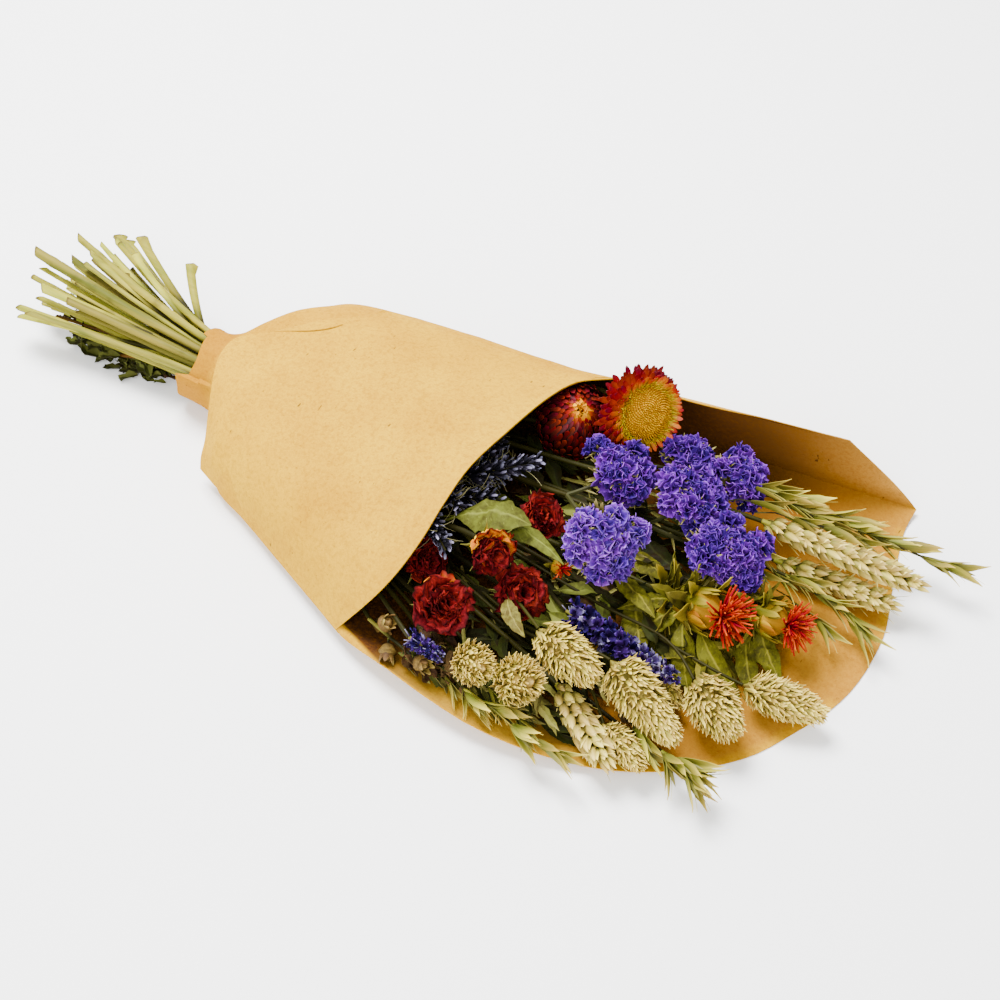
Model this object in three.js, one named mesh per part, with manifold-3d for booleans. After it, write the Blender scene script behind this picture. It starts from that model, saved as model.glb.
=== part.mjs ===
// A dried flower bouquet lying on a table in a kraft paper wrap, in millimetres, +Z up.
// +X runs from the cut stem ends towards the flowers, and +Y to the far side of the wrap.
// The origin is on the flat underside of the paper, near the mouth of the wrap.
// Every plant is a stem that starts at a cut end, passes through the band at the neck and carries
// its own head. The stems are bent clear of each other and of the heads by relaxing their routes.

import * as THREE from "three";
import Module from "manifold-3d";

const wasm = await Module();
wasm.setup();

// ---------------------------------------------------------------- driving dimensions

const PAPER = 0.9; // thickness of the paper sheet as modelled
const SEAT = 0.35; // gap between touching pieces
const FLOOR = 1.4; // lowest that a stem's underside runs inside the wrap
const NEAR_CURL = 0.15; // how steeply the floor of the wrap rises towards its near edge

const TIE = { x: -160, y: -6, z: 20, width: 6, thickness: 1.4 };
const COLLAR = { x: -171, radius: 17.6 }; // the paper round the neck
const SHOULDER_X = -134; // where the wrap reaches its full section
const CROWN_POWER = 2.5; // the wrap's section is this superellipse over a flat base

// How the stem ends fan out behind the band.
const TAIL = { reach: 125, wide: 3.1, tall: 0.4, power: 1.35, rise: 3, swing: 15, swell: 1.3 };
const TAIL_SHORT = 86; // shortest and longest stem end behind the band
const TAIL_LONG = 129;

const STATIONS = [-140, -104, -68, -34, -4, 24, 54, 84, 114, 142];

const COLOURS = {
  kraft: 0xd9b47a,
  band: 0x8d6b3f,
  straw: 0xc3c08a,
  sage: 0x8d9463,
  deepGreen: 0x4c5a30,
  darkRed: 0x6e1016,
  flameRed: 0xc0341d,
  gold: 0xeab517,
  purple: 0x5b3fb8,
  roseRed: 0xa32a1e,
  indigo: 0x38359a,
  safflower: 0xd9481c,
  lavender: 0x5d5a78,
  canary: 0xcfc590,
  wheat: 0xd6cd9c,
  oat: 0xb5b878,
  capsule: 0x9a7c4a,
};

// ---------------------------------------------------------------- planting plan
// base is where the head sits on its stem, aim is the way it points, in mm of the wrap's frame.
// via is a point that the stem passes near.

const PLANTS = [
  { name: "strawflower_dark", kind: "strawflower", stem: 1.8, base: [10, 47, 31], aim: [0.42, -0.3, 0.86], size: 18 },
  { name: "strawflower_gold", kind: "strawflower", stem: 1.9, base: [40, 55, 51], aim: [0.85, -0.39, 0.4], size: 20 },
  {
    name: "statice_left", kind: "statice", stem: 2.0, base: [34, 4, 34], aim: [0.9, 0.1, 0.42],
    combs: [
      { name: "statice_comb_1", base: [50, 21, 41], aim: [0.35, 0.05, 0.94], length: 33, width: 30, height: 13, cups: 10 },
      { name: "statice_comb_2", base: [65, -17, 41], aim: [0.55, -0.5, 0.67], length: 38, width: 36, height: 15, cups: 12 },
    ],
  },
  {
    name: "statice_far", kind: "statice", stem: 2.0, base: [54, 48, 17], aim: [0.9, 0.2, 0.4],
    combs: [
      { name: "statice_comb_3", base: [70, 55, 30], aim: [0.3, -0.1, 0.95], length: 27, width: 25, height: 11, cups: 7 },
      { name: "statice_comb_5", base: [95, 56, 31], aim: [0.35, -0.1, 0.93], length: 25, width: 22, height: 12, cups: 6 },
    ],
  },
  {
    name: "statice_middle", kind: "statice", stem: 2.0, base: [70, 16, 24], aim: [0.9, 0.05, 0.42],
    combs: [
      { name: "statice_comb_4", base: [85, 27, 37], aim: [0.25, 0.0, 0.97], length: 37, width: 28, height: 13, cups: 10 },
      { name: "statice_comb_6", base: [112, 13, 31], aim: [0.45, -0.2, 0.87], length: 43, width: 36, height: 15, cups: 13 },
    ],
  },
  { name: "rose_1", kind: "rose", stem: 2.0, base: [-8, -59, 26], aim: [0.8, -0.2, 0.5], size: 12 },
  { name: "rose_2", kind: "rose", stem: 2.0, base: [18, -79, 26], aim: [0.5, -0.25, 0.83], size: 14, via: [-4, -62.8, 13.4] },
  { name: "rose_3", kind: "rose", stem: 2.0, base: [22, -50, 47], aim: [0.86, -0.42, 0.25], size: 13 },
  { name: "rose_4", kind: "rose", stem: 2.0, base: [40, -51, 24.5], aim: [0.62, -0.35, 0.7], size: 13.5 },
  { name: "rose_5", kind: "rose", stem: 2.0, base: [27, -13, 28], aim: [0.55, -0.25, 0.8], size: 12.5 },
  { name: "larkspur_long", kind: "larkspur", stem: 1.8, base: [66, -48, 24.5], aim: [62, -6, -1], size: 9.2, length: 62 },
  { name: "larkspur_short", kind: "larkspur", stem: 1.5, base: [17, -99, 26], aim: [18, -2, 1], size: 5.5, length: 20 },
  { name: "safflower_left", kind: "safflower", stem: 2.3, base: [107, -12, 20], aim: [0.96, -0.07, 0.26], size: 14 },
  { name: "safflower_right", kind: "safflower", stem: 2.3, base: [135, 2, 17], aim: [0.98, 0.0, 0.18], size: 12 },
  { name: "safflower_small", kind: "safflower", stem: 1.5, base: [50, -33, 31], aim: [0.85, -0.3, 0.4], size: 4.5 },
  { name: "lavender_far", kind: "lavender", stem: 1.1, base: [-24, -6, 22], aim: [21, 18, 24], length: 36, size: 5.4 },
  { name: "lavender_middle", kind: "lavender", stem: 1.3, base: [-12, -12, 34], aim: [31, 22, 9], length: 39, size: 5.6 },
  { name: "lavender_near", kind: "lavender", stem: 1.1, base: [-34, -42, 32], aim: [26, 17, 12], length: 33, size: 5.4 },
  { name: "lavender_low", kind: "lavender", stem: 1.1, base: [-20, -40, 44], aim: [35, -25, 3], length: 42, size: 5.4 },
  { name: "canary_grass_1", kind: "canary", stem: 1.2, base: [41, -93, 21], aim: [14, -6, 10], size: 10, length: 23 },
  { name: "canary_grass_2", kind: "canary", stem: 1.2, base: [62, -92, 21], aim: [15, -4, 13], size: 11.5, length: 26 },
  { name: "canary_grass_3", kind: "canary", stem: 1.2, base: [66, -71, 36], aim: [33, -7, -5], size: 11.5, length: 36 },
  { name: "canary_grass_4", kind: "canary", stem: 1.2, base: [98, -64, 29], aim: [45, -16, -12], size: 12, length: 48, fullness: 0.55 },
  { name: "canary_grass_5", kind: "canary", stem: 1.2, base: [131, -48, 21], aim: [25, -12, -4], size: 12, length: 33 },
  { name: "canary_grass_6", kind: "canary", stem: 1.2, base: [148, -34, 14], aim: [36, 6, -2], size: 10, length: 40 },
  { name: "canary_grass_7", kind: "canary", stem: 1.1, base: [104, -42, 11], aim: [28, -16, 0], size: 6, length: 32 },
  { name: "canary_grass_8", kind: "canary", stem: 1.1, base: [108, -85, 14], aim: [27, -11, -1], size: 7.5, length: 29 },
  { name: "wheat_1", kind: "wheat", stem: 1.7, base: [116, 43, 29], aim: [76, 11, -8], size: 7.6, length: 80 },
  { name: "wheat_2", kind: "wheat", stem: 1.7, base: [126, 40, 11], aim: [56, 5, 0], size: 7, length: 60 },
  { name: "wheat_3", kind: "wheat", stem: 1.7, base: [80, -77, 12], aim: [37, -23, 2], size: 8.4, length: 47 },
  {
    name: "oat_far", kind: "oat", stem: 1.6, base: [100, 66, 22], aim: [92, 8, -5], length: 92,
    spikelets: [
      { at: 0.02, turn: 3.6, length: 26 }, { at: 0.16, turn: 2.0, length: 27 }, { at: 0.3, turn: 4.2, length: 28 },
      { at: 0.45, turn: 2.4, length: 26 }, { at: 0.6, turn: 3.9, length: 27 }, { at: 0.76, turn: 2.2, length: 24 },
      { at: 1.0, turn: 3.1, length: 24, lean: 0.12 },
    ],
  },
  {
    name: "oat_middle", kind: "oat", stem: 1.6, base: [136, 31, 15], aim: [50, -4, -3], length: 32,
    spikelets: [
      { at: 0.1, turn: 2.6, length: 22 }, { at: 0.55, turn: 3.6, length: 24 },
      { at: 1.0, turn: 4.7, length: 30, lean: 0.42, twist: 0.3 },
    ],
  },
  {
    name: "oat_near", kind: "oat", stem: 1.6, base: [50, -104, 17], aim: [52, -7, -2], length: 42,
    spikelets: [
      { at: 0.0, turn: 4.5, length: 22 }, { at: 0.3, turn: 2.2, length: 21 }, { at: 0.62, turn: 4.4, length: 22 },
      { at: 1.0, turn: 3.2, length: 23, lean: 0.12 },
    ],
  },
  {
    name: "oat_front", kind: "oat", stem: 1.6, base: [137, -84, 14], aim: [30, -8, 0], length: 11,
    spikelets: [
      { at: 0.1, turn: 4.6, length: 22, lean: 0.5, twist: 0.2 }, { at: 0.5, turn: 2.4, length: 23, lean: 0.3 },
      { at: 1.0, turn: 1.7, length: 22, lean: 0.25, twist: 0.4 },
      { at: 1.0, turn: 4.2, length: 24, lean: 0.2, twist: 0.3 },
    ],
  },
  { name: "seed_capsules", kind: "capsules", stem: 1.4, base: [-8, -94, 16], aim: [30, -8, 1], size: 4.2, length: 30 },
];

// Leaves: the plant, where each leaves its stem, the point it bends towards, its tip and width.
const LEAVES = [
  { plant: "rose_3", at: -4, via: [16, -33, 54], tip: [38, -33, 50], width: 21 },
  { plant: "rose_3", at: -14, via: [22, -24, 48], tip: [58, -38, 41], width: 12 },
  { plant: "safflower_left", at: -188, via: [-204, -10, 5], tip: [-222, -20, 4], width: 10 },
  { plant: "safflower_left", at: -206, via: [-226, -8, 5.5], tip: [-247, -17, 4.5], width: 11 },
  { plant: "safflower_left", at: 60, via: [76, 2, 26], tip: [95, -8, 23], width: 13 },
  { plant: "safflower_left", at: 62, via: [84, -20, 27], tip: [102, -32, 27], width: 10 },
  { plant: "safflower_small", at: 36, via: [60, -27, 21], tip: [82, -25, 17], width: 4 },
  { plant: "statice_middle", at: 66, via: [80, 4, 17], tip: [96, 4, 22], width: 13 },
  { plant: "canary_grass_3", at: 40, via: [50, -74, 40], tip: [64, -79, 37], width: 8 },
];

// ---------------------------------------------------------------- small helpers

const vec = (x, y, z) => new THREE.Vector3(x, y, z);
const lerp = THREE.MathUtils.lerp;
const count = (n) => Array.from({ length: n }, (_, i) => i);
const TURN = 2 * Math.PI;

// A seeded draw, so that every build is the same.
function dice(seed) {
  let state = seed * 9301 + 49297;
  return () => {
    state = (state * 9301 + 49297) % 233280;
    return state / 233280;
  };
}

function geometryOf(points, faces) {
  const geometry = new THREE.BufferGeometry().setFromPoints(points);
  geometry.setIndex(faces);
  return geometry;
}

// A closed body skinned over rings of points. A last ring of one point makes a pointed tip.
function skin(rings) {
  const sides = rings[0].length;
  const faces = [];
  const start = rings.map((_, i) => rings.slice(0, i).reduce((n, r) => n + r.length, 0));
  for (let i = 0; i + 1 < rings.length; i++) {
    for (let j = 0; j < sides; j++) {
      const [a, b] = [start[i] + j, start[i] + ((j + 1) % sides)];
      if (rings[i + 1].length === 1) {
        faces.push(a, b, start[i + 1]);
        continue;
      }
      const [c, d] = [start[i + 1] + j, start[i + 1] + ((j + 1) % sides)];
      faces.push(a, b, d, a, d, c);
    }
  }
  for (let j = 1; j + 1 < sides; j++) faces.push(0, j + 1, j);
  const last = rings.length - 1;
  if (rings[last].length > 1) {
    for (let j = 1; j + 1 < sides; j++) faces.push(start[last], start[last] + j, start[last] + j + 1);
  }
  return geometryOf(rings.flat(), faces);
}

// A sheet of even thickness over a grid of points, split into triangles alike on both faces.
function sheet(grid, thickness, closed = false) {
  const rows = grid.length;
  const columns = grid[0].length;
  const wrapped = (j) => (closed ? (j + columns) % columns : THREE.MathUtils.clamp(j, 0, columns - 1));
  const row = (i) => grid[THREE.MathUtils.clamp(i, 0, rows - 1)];
  const shifted = (side) =>
    grid.map((line, i) =>
      line.map((point, j) => {
        const along = row(i + 1)[j].clone().sub(row(i - 1)[j]);
        const across = line[wrapped(j + 1)].clone().sub(line[wrapped(j - 1)]);
        return point.clone().addScaledVector(along.cross(across).normalize(), (side * thickness) / 2);
      }),
    );
  const points = [...shifted(1).flat(), ...shifted(-1).flat()];
  const under = rows * columns;
  const faces = [];
  const id = (i, j) => i * columns + wrapped(j);
  const spans = closed ? columns : columns - 1;
  for (let i = 0; i + 1 < rows; i++) {
    for (let j = 0; j < spans; j++) {
      const [a, b, c, d] = [id(i, j), id(i, j + 1), id(i + 1, j), id(i + 1, j + 1)];
      faces.push(a, c, d, a, d, b);
      faces.push(under + a, under + d, under + c, under + a, under + b, under + d);
    }
  }
  const edge = (a, b) => faces.push(a, b, under + b, a, under + b, under + a);
  for (let j = 0; j < spans; j++) {
    edge(id(0, j), id(0, j + 1));
    edge(id(rows - 1, j + 1), id(rows - 1, j));
  }
  for (let i = 0; !closed && i + 1 < rows; i++) {
    edge(id(i + 1, 0), id(i, 0));
    edge(id(i, columns - 1), id(i + 1, columns - 1));
  }
  return geometryOf(points, faces);
}

// A geometry as a solid with its faces pointing out.
function solidOf(geometry) {
  const triVerts = new Uint32Array(geometry.index.array);
  const make = () =>
    new wasm.Manifold(
      new wasm.Mesh({
        numProp: 3,
        vertProperties: new Float32Array(geometry.attributes.position.array),
        triVerts,
      }),
    );
  const made = make();
  if (made.volume() > 0) return made;
  for (let i = 0; i < triVerts.length; i += 3) triVerts.subarray(i, i + 2).reverse();
  return make();
}

// Pieces joined into one body. A scrap that touches nothing is dropped.
function fuse(pieces) {
  const solids = pieces.map((p) => (p.isBufferGeometry ? solidOf(p) : p));
  return largest(wasm.Manifold.union(solids).simplify(0.15));
}

const largest = (solid) => solid.decompose().sort((a, b) => b.volume() - a.volume())[0];

// The frame of a head: its own +Z runs along aim, from base.
function stand(base, aim, spin = 0) {
  const turn = new THREE.Quaternion().setFromUnitVectors(vec(0, 0, 1), vec(...aim).normalize());
  turn.multiply(new THREE.Quaternion().setFromAxisAngle(vec(0, 0, 1), spin));
  return new THREE.Matrix4().compose(vec(...base), turn, vec(1, 1, 1));
}

const placed = (geometries, frame) => geometries.map((g) => g.clone().applyMatrix4(frame));

function ringAt(center, radius, sides, start = 0) {
  return count(sides).map((j) => {
    const a = start + (TURN * j) / sides;
    return vec(center.x + radius * Math.cos(a), center.y + radius * Math.sin(a), center.z);
  });
}

// A pointed bract, glume or needle with a lens section, from the origin along +Z, bent towards +X.
function spike(length, width, thickness, bend = 0, root = 0.5, belly = 0.4, ridge = true) {
  const ring = (t, share) => {
    const [x, z] = [bend * t * t, length * t];
    const keel = vec(x - (thickness * share) / 2, 0, z);
    const edges = [vec(x, (-width * share) / 2, z), vec(x, (width * share) / 2, z)];
    return ridge ? [edges[0], vec(x + (thickness * share) / 2, 0, z), edges[1], keel] : [...edges, keel];
  };
  return skin([ring(0, root), ring(belly, 1), [vec(bend, 0, length)]]);
}

// ---------------------------------------------------------------- stem routes

const tieSlots = new Map();

function headSpheres(plant) {
  const aim = vec(...plant.aim).normalize();
  const base = vec(...plant.base);
  const along = (from, to, radius) =>
    count(Math.max(2, Math.ceil((to - from) / radius) + 1)).map((i, _, all) => ({
      center: base.clone().addScaledVector(aim, lerp(from, to, i / (all.length - 1))),
      radius,
    }));
  if (plant.kind === "strawflower") return along(plant.size * 0.25, plant.size * 0.45, plant.size * 0.95);
  if (plant.kind === "rose") return along(plant.size * 0.75, plant.size * 0.95, plant.size * 1.02);
  if (plant.kind === "safflower") return along(plant.size * 0.7, plant.size * 2.3, plant.size * 1.1);
  if (plant.kind === "statice") {
    return plant.combs.map((comb) => ({
      center: vec(...comb.base).addScaledVector(vec(...comb.aim).normalize(), comb.height * 0.75),
      radius: (comb.length + comb.width) / 4 + 1,
    }));
  }
  if (plant.kind === "oat") return along(4, plant.length, 6.5);
  if (plant.kind === "capsules") return along(0, plant.length, 6.5);
  const radius = plant.size + 1;
  return along(radius * 0.8, plant.length - radius * 0.5, radius);
}

// The most that a stem's middle may lie from the neck's axis, or its box inside the wrap.
function keepInside(point, radius) {
  if (point.x < -150) {
    const limit = COLLAR.radius - 2 - radius;
    const away = Math.hypot(point.y - TIE.y, point.z - TIE.z);
    if (away > limit) {
      point.y = TIE.y + ((point.y - TIE.y) * limit) / away;
      point.z = TIE.z + ((point.z - TIE.z) * limit) / away;
    }
    return;
  }
  const t = THREE.MathUtils.clamp((point.x + 150) / 150, 0, 1);
  const half = lerp(34, 92, t) - 5 - radius;
  const height = lerp(38, 59, t);
  point.y = THREE.MathUtils.clamp(point.y, -half - 3, half);
  const crown = height * (1 - Math.min(1, Math.abs(point.y / (half + 7))) ** CROWN_POWER) ** 0.4;
  const covered = point.x < 12 || (point.x < 60 && point.y > 40);
  const roof = covered ? crown - 2.5 - radius : 70;
  const floor = FLOOR + radius + NEAR_CURL * Math.max(0, -62 - point.y);
  point.z = THREE.MathUtils.clamp(point.z, floor, Math.max(floor, roof));
}

// Knots in y and z at fixed stations along x, relaxed until no two stems and no head touch.
function layRoutes() {
  const spheres = PLANTS.map(headSpheres);
  const stems = PLANTS.map((plant, i) => {
    const aim = vec(...plant.aim).normalize();
    const base = vec(...plant.base);
    const bend = base.clone().addScaledVector(aim, -7);
    const slope = base.clone().sub(vec(TIE.x, TIE.y, TIE.z)).divideScalar(base.x - TIE.x);
    const slot = vec(TIE.x, TIE.y + 30 * slope.y, TIE.z + 55 * (slope.z - 0.03));
    const marks = plant.via ? [slot, vec(...plant.via), bend] : [slot, bend];
    const middle = STATIONS.filter((x) => x < bend.x - 9).map((x) => {
      const k = marks.findIndex((mark) => mark.x > x);
      const t = (x - marks[k - 1].x) / (marks[k].x - marks[k - 1].x);
      return marks[k - 1].clone().lerp(marks[k], t);
    });
    const knots = [slot, ...middle, bend, base];
    return { plant, index: i, radius: plant.stem, knots, free: knots.map((_, k) => k < knots.length - 2) };
  });
  const samples = [];
  for (let x = TIE.x; x < 190; x += 4) samples.push(x);
  const spanAt = (stem, x) => {
    const k = stem.knots.findIndex((p, i) => i > 0 && p.x >= x);
    if (k < 1 || x < stem.knots[0].x) return null;
    const [a, b] = [stem.knots[k - 1], stem.knots[k]];
    const t = (x - a.x) / (b.x - a.x || 1);
    return { stem, k, t, y: lerp(a.y, b.y, t), z: lerp(a.z, b.z, t) };
  };
  const push = (span, dy, dz) => {
    const { stem, k, t } = span;
    for (const [index, weight] of [[k - 1, 1 - t], [k, t]]) {
      if (!stem.free[index]) continue;
      stem.knots[index].y += dy * weight;
      stem.knots[index].z += dz * weight;
    }
    span.y += dy;
    span.z += dz;
  };
  const rounds = 520;
  for (let round = 0; round < rounds; round++) {
    const settle = round < rounds * 0.7;
    for (const stem of stems) {
      for (let k = 1; settle && k + 2 < stem.knots.length; k++) {
        const [a, p, b] = [stem.knots[k - 1], stem.knots[k], stem.knots[k + 1]];
        const t = (p.x - a.x) / (b.x - a.x);
        p.y += (lerp(a.y, b.y, t) - p.y) * 0.08;
        p.z += (lerp(a.z, b.z, t) - p.z) * 0.08;
      }
      if (settle) {
        stem.knots[0].y += (TIE.y - stem.knots[0].y) * 0.03;
        stem.knots[0].z += (TIE.z - stem.knots[0].z) * 0.03;
      }
    }
    for (const x of samples) {
      const spans = stems.map((stem) => spanAt(stem, x)).filter(Boolean);
      for (let i = 0; i < spans.length; i++) {
        for (let j = i + 1; j < spans.length; j++) {
          const [p, q] = [spans[i], spans[j]];
          const need = p.stem.radius + q.stem.radius + SEAT * 1.3;
          const [dy, dz] = [q.y - p.y, q.z - p.z];
          const apart = Math.hypot(dy, dz) || 1e-3;
          if (apart >= need) continue;
          const step = ((need - apart) * (settle ? 0.55 : 0.9)) / apart;
          push(p, -dy * step, -dz * step);
          push(q, dy * step, dz * step);
        }
        for (const [owner, list] of spheres.entries()) {
          if (owner === spans[i].stem.index) continue;
          for (const { center, radius } of list) {
            const dx = Math.abs(x - center.x);
            if (dx >= radius + 1) continue;
            const need = Math.sqrt((radius + 1) ** 2 - dx * dx) + spans[i].stem.radius + SEAT;
            const [dy, dz] = [spans[i].y - center.y, spans[i].z - center.z];
            const apart = Math.hypot(dy, dz) || 1e-3;
            if (apart >= need) continue;
            const step = Math.min(1.2, (need - apart) * 0.5) / apart;
            push(spans[i], dy * step, dz * step);
          }
        }
      }
    }
    for (const stem of stems) {
      stem.knots.forEach((knot, k) => stem.free[k] && keepInside(knot, stem.radius));
    }
  }
  return stems;
}

// The stem ends behind the band: the same cross section as in the band, drawn apart.
function tailKnots(stem, random) {
  const slot = stem.knots[0];
  const reach = lerp(TAIL_SHORT, TAIL_LONG, random()) - 1.4 * Math.max(0, slot.y - TIE.y);
  return [reach, 62, 21].map((s) => {
    const share = (s / TAIL.reach) ** TAIL.power;
    return vec(
      TIE.x - s,
      TIE.y + TAIL.swing * share + (slot.y - TIE.y) * (1 + TAIL.wide * share),
      TIE.z + TAIL.rise * share + (slot.z - TIE.z) * (1 + TAIL.tall * share),
    );
  });
}

// A stem over its knots. Each ring lies in a plane across x, and the last one or two across the aim.
function stemGeometry(stem, sides) {
  const aim = vec(...stem.plant.aim).normalize();
  const across = vec(0, 0, 1).cross(aim).normalize();
  const up = aim.clone().cross(across);
  const last = stem.route.length - 1;
  const ownHead = ["canary", "wheat", "oat", "capsules", "safflower"].includes(stem.plant.kind);
  const reach = ownHead ? 1 : -SEAT;
  const rings = stem.route.map((knot, k) =>
    count(sides).map((j) => {
      const a = (TURN * j) / sides + 0.3;
      const r = stem.radius * (k < 2 ? TAIL.swell : 1);
      const [c, s] = [r * Math.cos(a), r * Math.sin(a)];
      if (k < last - 1) return vec(knot.x, knot.y + c, knot.z + s);
      const end = knot.clone().addScaledVector(aim, k === last ? reach : 0);
      return end.addScaledVector(across, c).addScaledVector(up, s);
    }),
  );
  return skin(rings);
}

// ---------------------------------------------------------------- heads
// Each returns geometries in the head's own frame, from the origin along +Z.

// Overlapping scales as relief: every second point of each ring stands out and leans forward.
function scaledHead(length, radius, { rows, scales, fullness, lift = 0.16, tip = 0.1 }) {
  const step = length / rows;
  const rings = [ringAt(vec(0, 0, 0), radius * 0.18, scales * 2)];
  for (let i = 0; i < rows; i++) {
    const t = (i + 0.6) / rows;
    const swell = Math.sin(Math.PI * t ** fullness) ** 0.62;
    rings.push(
      count(scales * 2).map((j) => {
        const out = (i + j) % 2 === 0;
        const a = (TURN * j) / (scales * 2);
        const r = Math.max(radius * tip, radius * swell) * (out ? 1 : 1 - lift * 2);
        return vec(r * Math.cos(a), r * Math.sin(a), length * t * 0.96 + (out ? step * 0.42 : -step * 0.2));
      }),
    );
  }
  rings.push([vec(0, 0, length + step * 0.5)]);
  return [skin(rings)];
}

// A canary grass head: an egg of short overlapping husks.
function canaryHead({ length, size, fullness = 0.72 }) {
  return scaledHead(length, size, { rows: 7, scales: 5, fullness, lift: 0.12 });
}

// A wheat ear: two flattened ranks of overlapping spikelets.
function wheatEar(length, radius) {
  const shape = { rows: Math.round(length / 5.6), scales: 4, fullness: 0.62, lift: 0.15, tip: 0.3 };
  return scaledHead(length, radius, shape).map((g) => g.scale(1.12, 0.86, 1));
}

// One oat spikelet: two long papery glumes that open in a V.
function oatSpikelet(length) {
  const half = (side) => spike(length, 4, 2.6, side * length * 0.2, 0.42, 0.36, false).rotateY(side * 0.16);
  return [half(1), half(-1)];
}

function oatPanicle(plant) {
  const axis = skin([ringAt(vec(0, 0, -2), 1.0, 4), ringAt(vec(0, 0, plant.length), 0.6, 4)]);
  const spikelets = plant.spikelets.flatMap(({ at, turn, length, lean = 0.3, twist = 1.6 }) => {
    const aim = [lean * Math.cos(turn), lean * Math.sin(turn), 1];
    const frame = stand([0, 0, plant.length * at - 1], aim, turn + twist);
    return placed(oatSpikelet(length), frame);
  });
  return [axis, ...spikelets];
}

function roseBloom(size, seed) {
  const random = dice(seed);
  const bud = [0.02, 0.5, 1.15, 1.42].map((h, i) =>
    ringAt(vec(0, 0, size * h), size * [0.32, 0.47, 0.42, 0.2][i], 5, i * 0.4),
  );
  // A cup of petals: its rim rises and opens at each petal and dips between two.
  const cup = (petals, start, foot, body, flare, height) =>
    sheet(
      [0, 0.5, 1].map((v) =>
        count(petals * 2).map((j) => {
          const a = start + (Math.PI * j) / petals + 0.16 * v * (random() - 0.5);
          const between = j % 2 ? 1 : 0;
          const r = size * ([0.2, body, flare][v * 2] - v * 0.14 * between + 0.08 * v * (random() - 0.5));
          const z = size * (foot + v * (height - 0.24 * between) + 0.1 * v * (random() - 0.5));
          return vec(r * Math.cos(a), r * Math.sin(a), z);
        }),
      ),
      0.9,
      true,
    );
  return [skin(bud), cup(4, 0.4, 0.2, 0.66, 0.74, 1.1), cup(5, 0, 0.04, 0.86, 1.02, 0.98)];
}

// The papery bracts of a strawflower, in whorls that open outwards.
function strawBracts(size, closedIn) {
  // Height, reach and openness of each whorl of bracts, as shares of the bloom's radius.
  const whorls = closedIn
    ? [[0.1, 0.84, 0], [0.32, 1, 1], [0.6, 0.98, 1], [0.84, 0.84, 1], [1.02, 0.62, 1], [1.1, 0.4, 1]]
    : [[0.06, 0.7, 0], [0.2, 0.94, 1], [0.34, 1.04, 1], [0.5, 1.02, 1], [0.62, 0.94, 1]];
  const points = closedIn ? 26 : 34;
  const rings = [ringAt(vec(0, 0, 0), size * 0.3, points)];
  whorls.forEach(([height, reach, open], w) => {
    rings.push(
      count(points).map((j) => {
        const a = (TURN * j) / points;
        const tip = (j + w) % 2 === 0;
        const r = size * reach * (tip ? 1 : 1 - 0.2 * open);
        return vec(r * Math.cos(a), r * Math.sin(a), size * (height + (tip ? 0.07 : -0.07) * open));
      }),
    );
  });
  rings.push(closedIn ? [vec(0, 0, size)] : ringAt(vec(0, 0, size * 0.44), size * 0.56, points));
  return [skin(rings)];
}

function strawDisc(size) {
  const sides = 14;
  const rings = [
    ringAt(vec(0, 0, size * 0.47), size * 0.3, sides),
    ringAt(vec(0, 0, size * 0.6), size * 0.68, sides),
    ...[0.62, 0.42, 0.2].map((r, i) =>
      count(sides).map((j) => {
        const a = (TURN * j) / sides;
        const out = (i + j) % 2 ? 0.04 : 0;
        return vec(size * r * Math.cos(a), size * r * Math.sin(a), size * ([0.72, 0.78, 0.8][i] + out));
      }),
    ),
  ];
  return [skin(rings)];
}

// One papery cup, larger than life: wide at the mouth and sunk in the middle.
function staticeCup(size, depth) {
  const sides = 5;
  const points = [
    ...ringAt(vec(0, 0, 0), size * 0.34, sides),
    ...ringAt(vec(0, 0, depth), size, sides, 0.3),
    vec(0, 0, depth * 0.6),
  ];
  const faces = [];
  for (let j = 0; j < sides; j++) {
    const k = (j + 1) % sides;
    faces.push(j, k, sides + k, j, sides + k, sides + j, sides + j, sides + k, 2 * sides);
  }
  faces.push(0, 2, 1, 0, 3, 2, 0, 4, 3);
  return geometryOf(points, faces);
}

// A comb of statice: cups side by side over a domed core.
function staticeComb({ length, width, height, cups }) {
  const [a, b] = [length / 2, width / 2];
  const core = skin([
    ringAt(vec(0, 0, 0), 0.4, 8),
    ringAt(vec(0, 0, height * 0.34), 0.84, 8),
    ringAt(vec(0, 0, height * 0.62), 0.62, 8),
    [vec(0, 0, height * 0.82)],
  ]).scale(a, b, 1);
  const florets = count(cups).map((k) => {
    const tilt = 1.32 * Math.sqrt((k + 0.3) / cups);
    const turn = k * 2.39996;
    const normal = vec(Math.sin(tilt) * Math.cos(turn), Math.sin(tilt) * Math.sin(turn), Math.cos(tilt));
    const base = [normal.x * a * 0.55, normal.y * b * 0.55, height * (0.16 + 0.4 * normal.z)];
    const aim = [normal.x / a, normal.y / b, (normal.z + 0.15) / (height * 1.1)];
    return staticeCup(4.7, height * 0.44).applyMatrix4(stand(base, aim, k));
  });
  return [core, ...florets];
}

// One larkspur floret: a five-lobed star facing out.
function larkspurStar(size) {
  const lobes = 5;
  const rim = count(lobes * 2).map((j) => {
    const a = (TURN * j) / (lobes * 2);
    const r = size * (j % 2 ? 0.42 : 1);
    return vec(r * Math.cos(a), r * Math.sin(a), j % 2 ? 0.4 : 1.3);
  });
  const points = [...rim, vec(0, 0, 1.1), vec(0, 0, -1.3)];
  const [top, bottom] = [rim.length, rim.length + 1];
  const faces = [];
  for (let j = 0; j < rim.length; j++) {
    const k = (j + 1) % rim.length;
    faces.push(j, k, top, k, j, bottom);
  }
  return geometryOf(points, faces);
}

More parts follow.
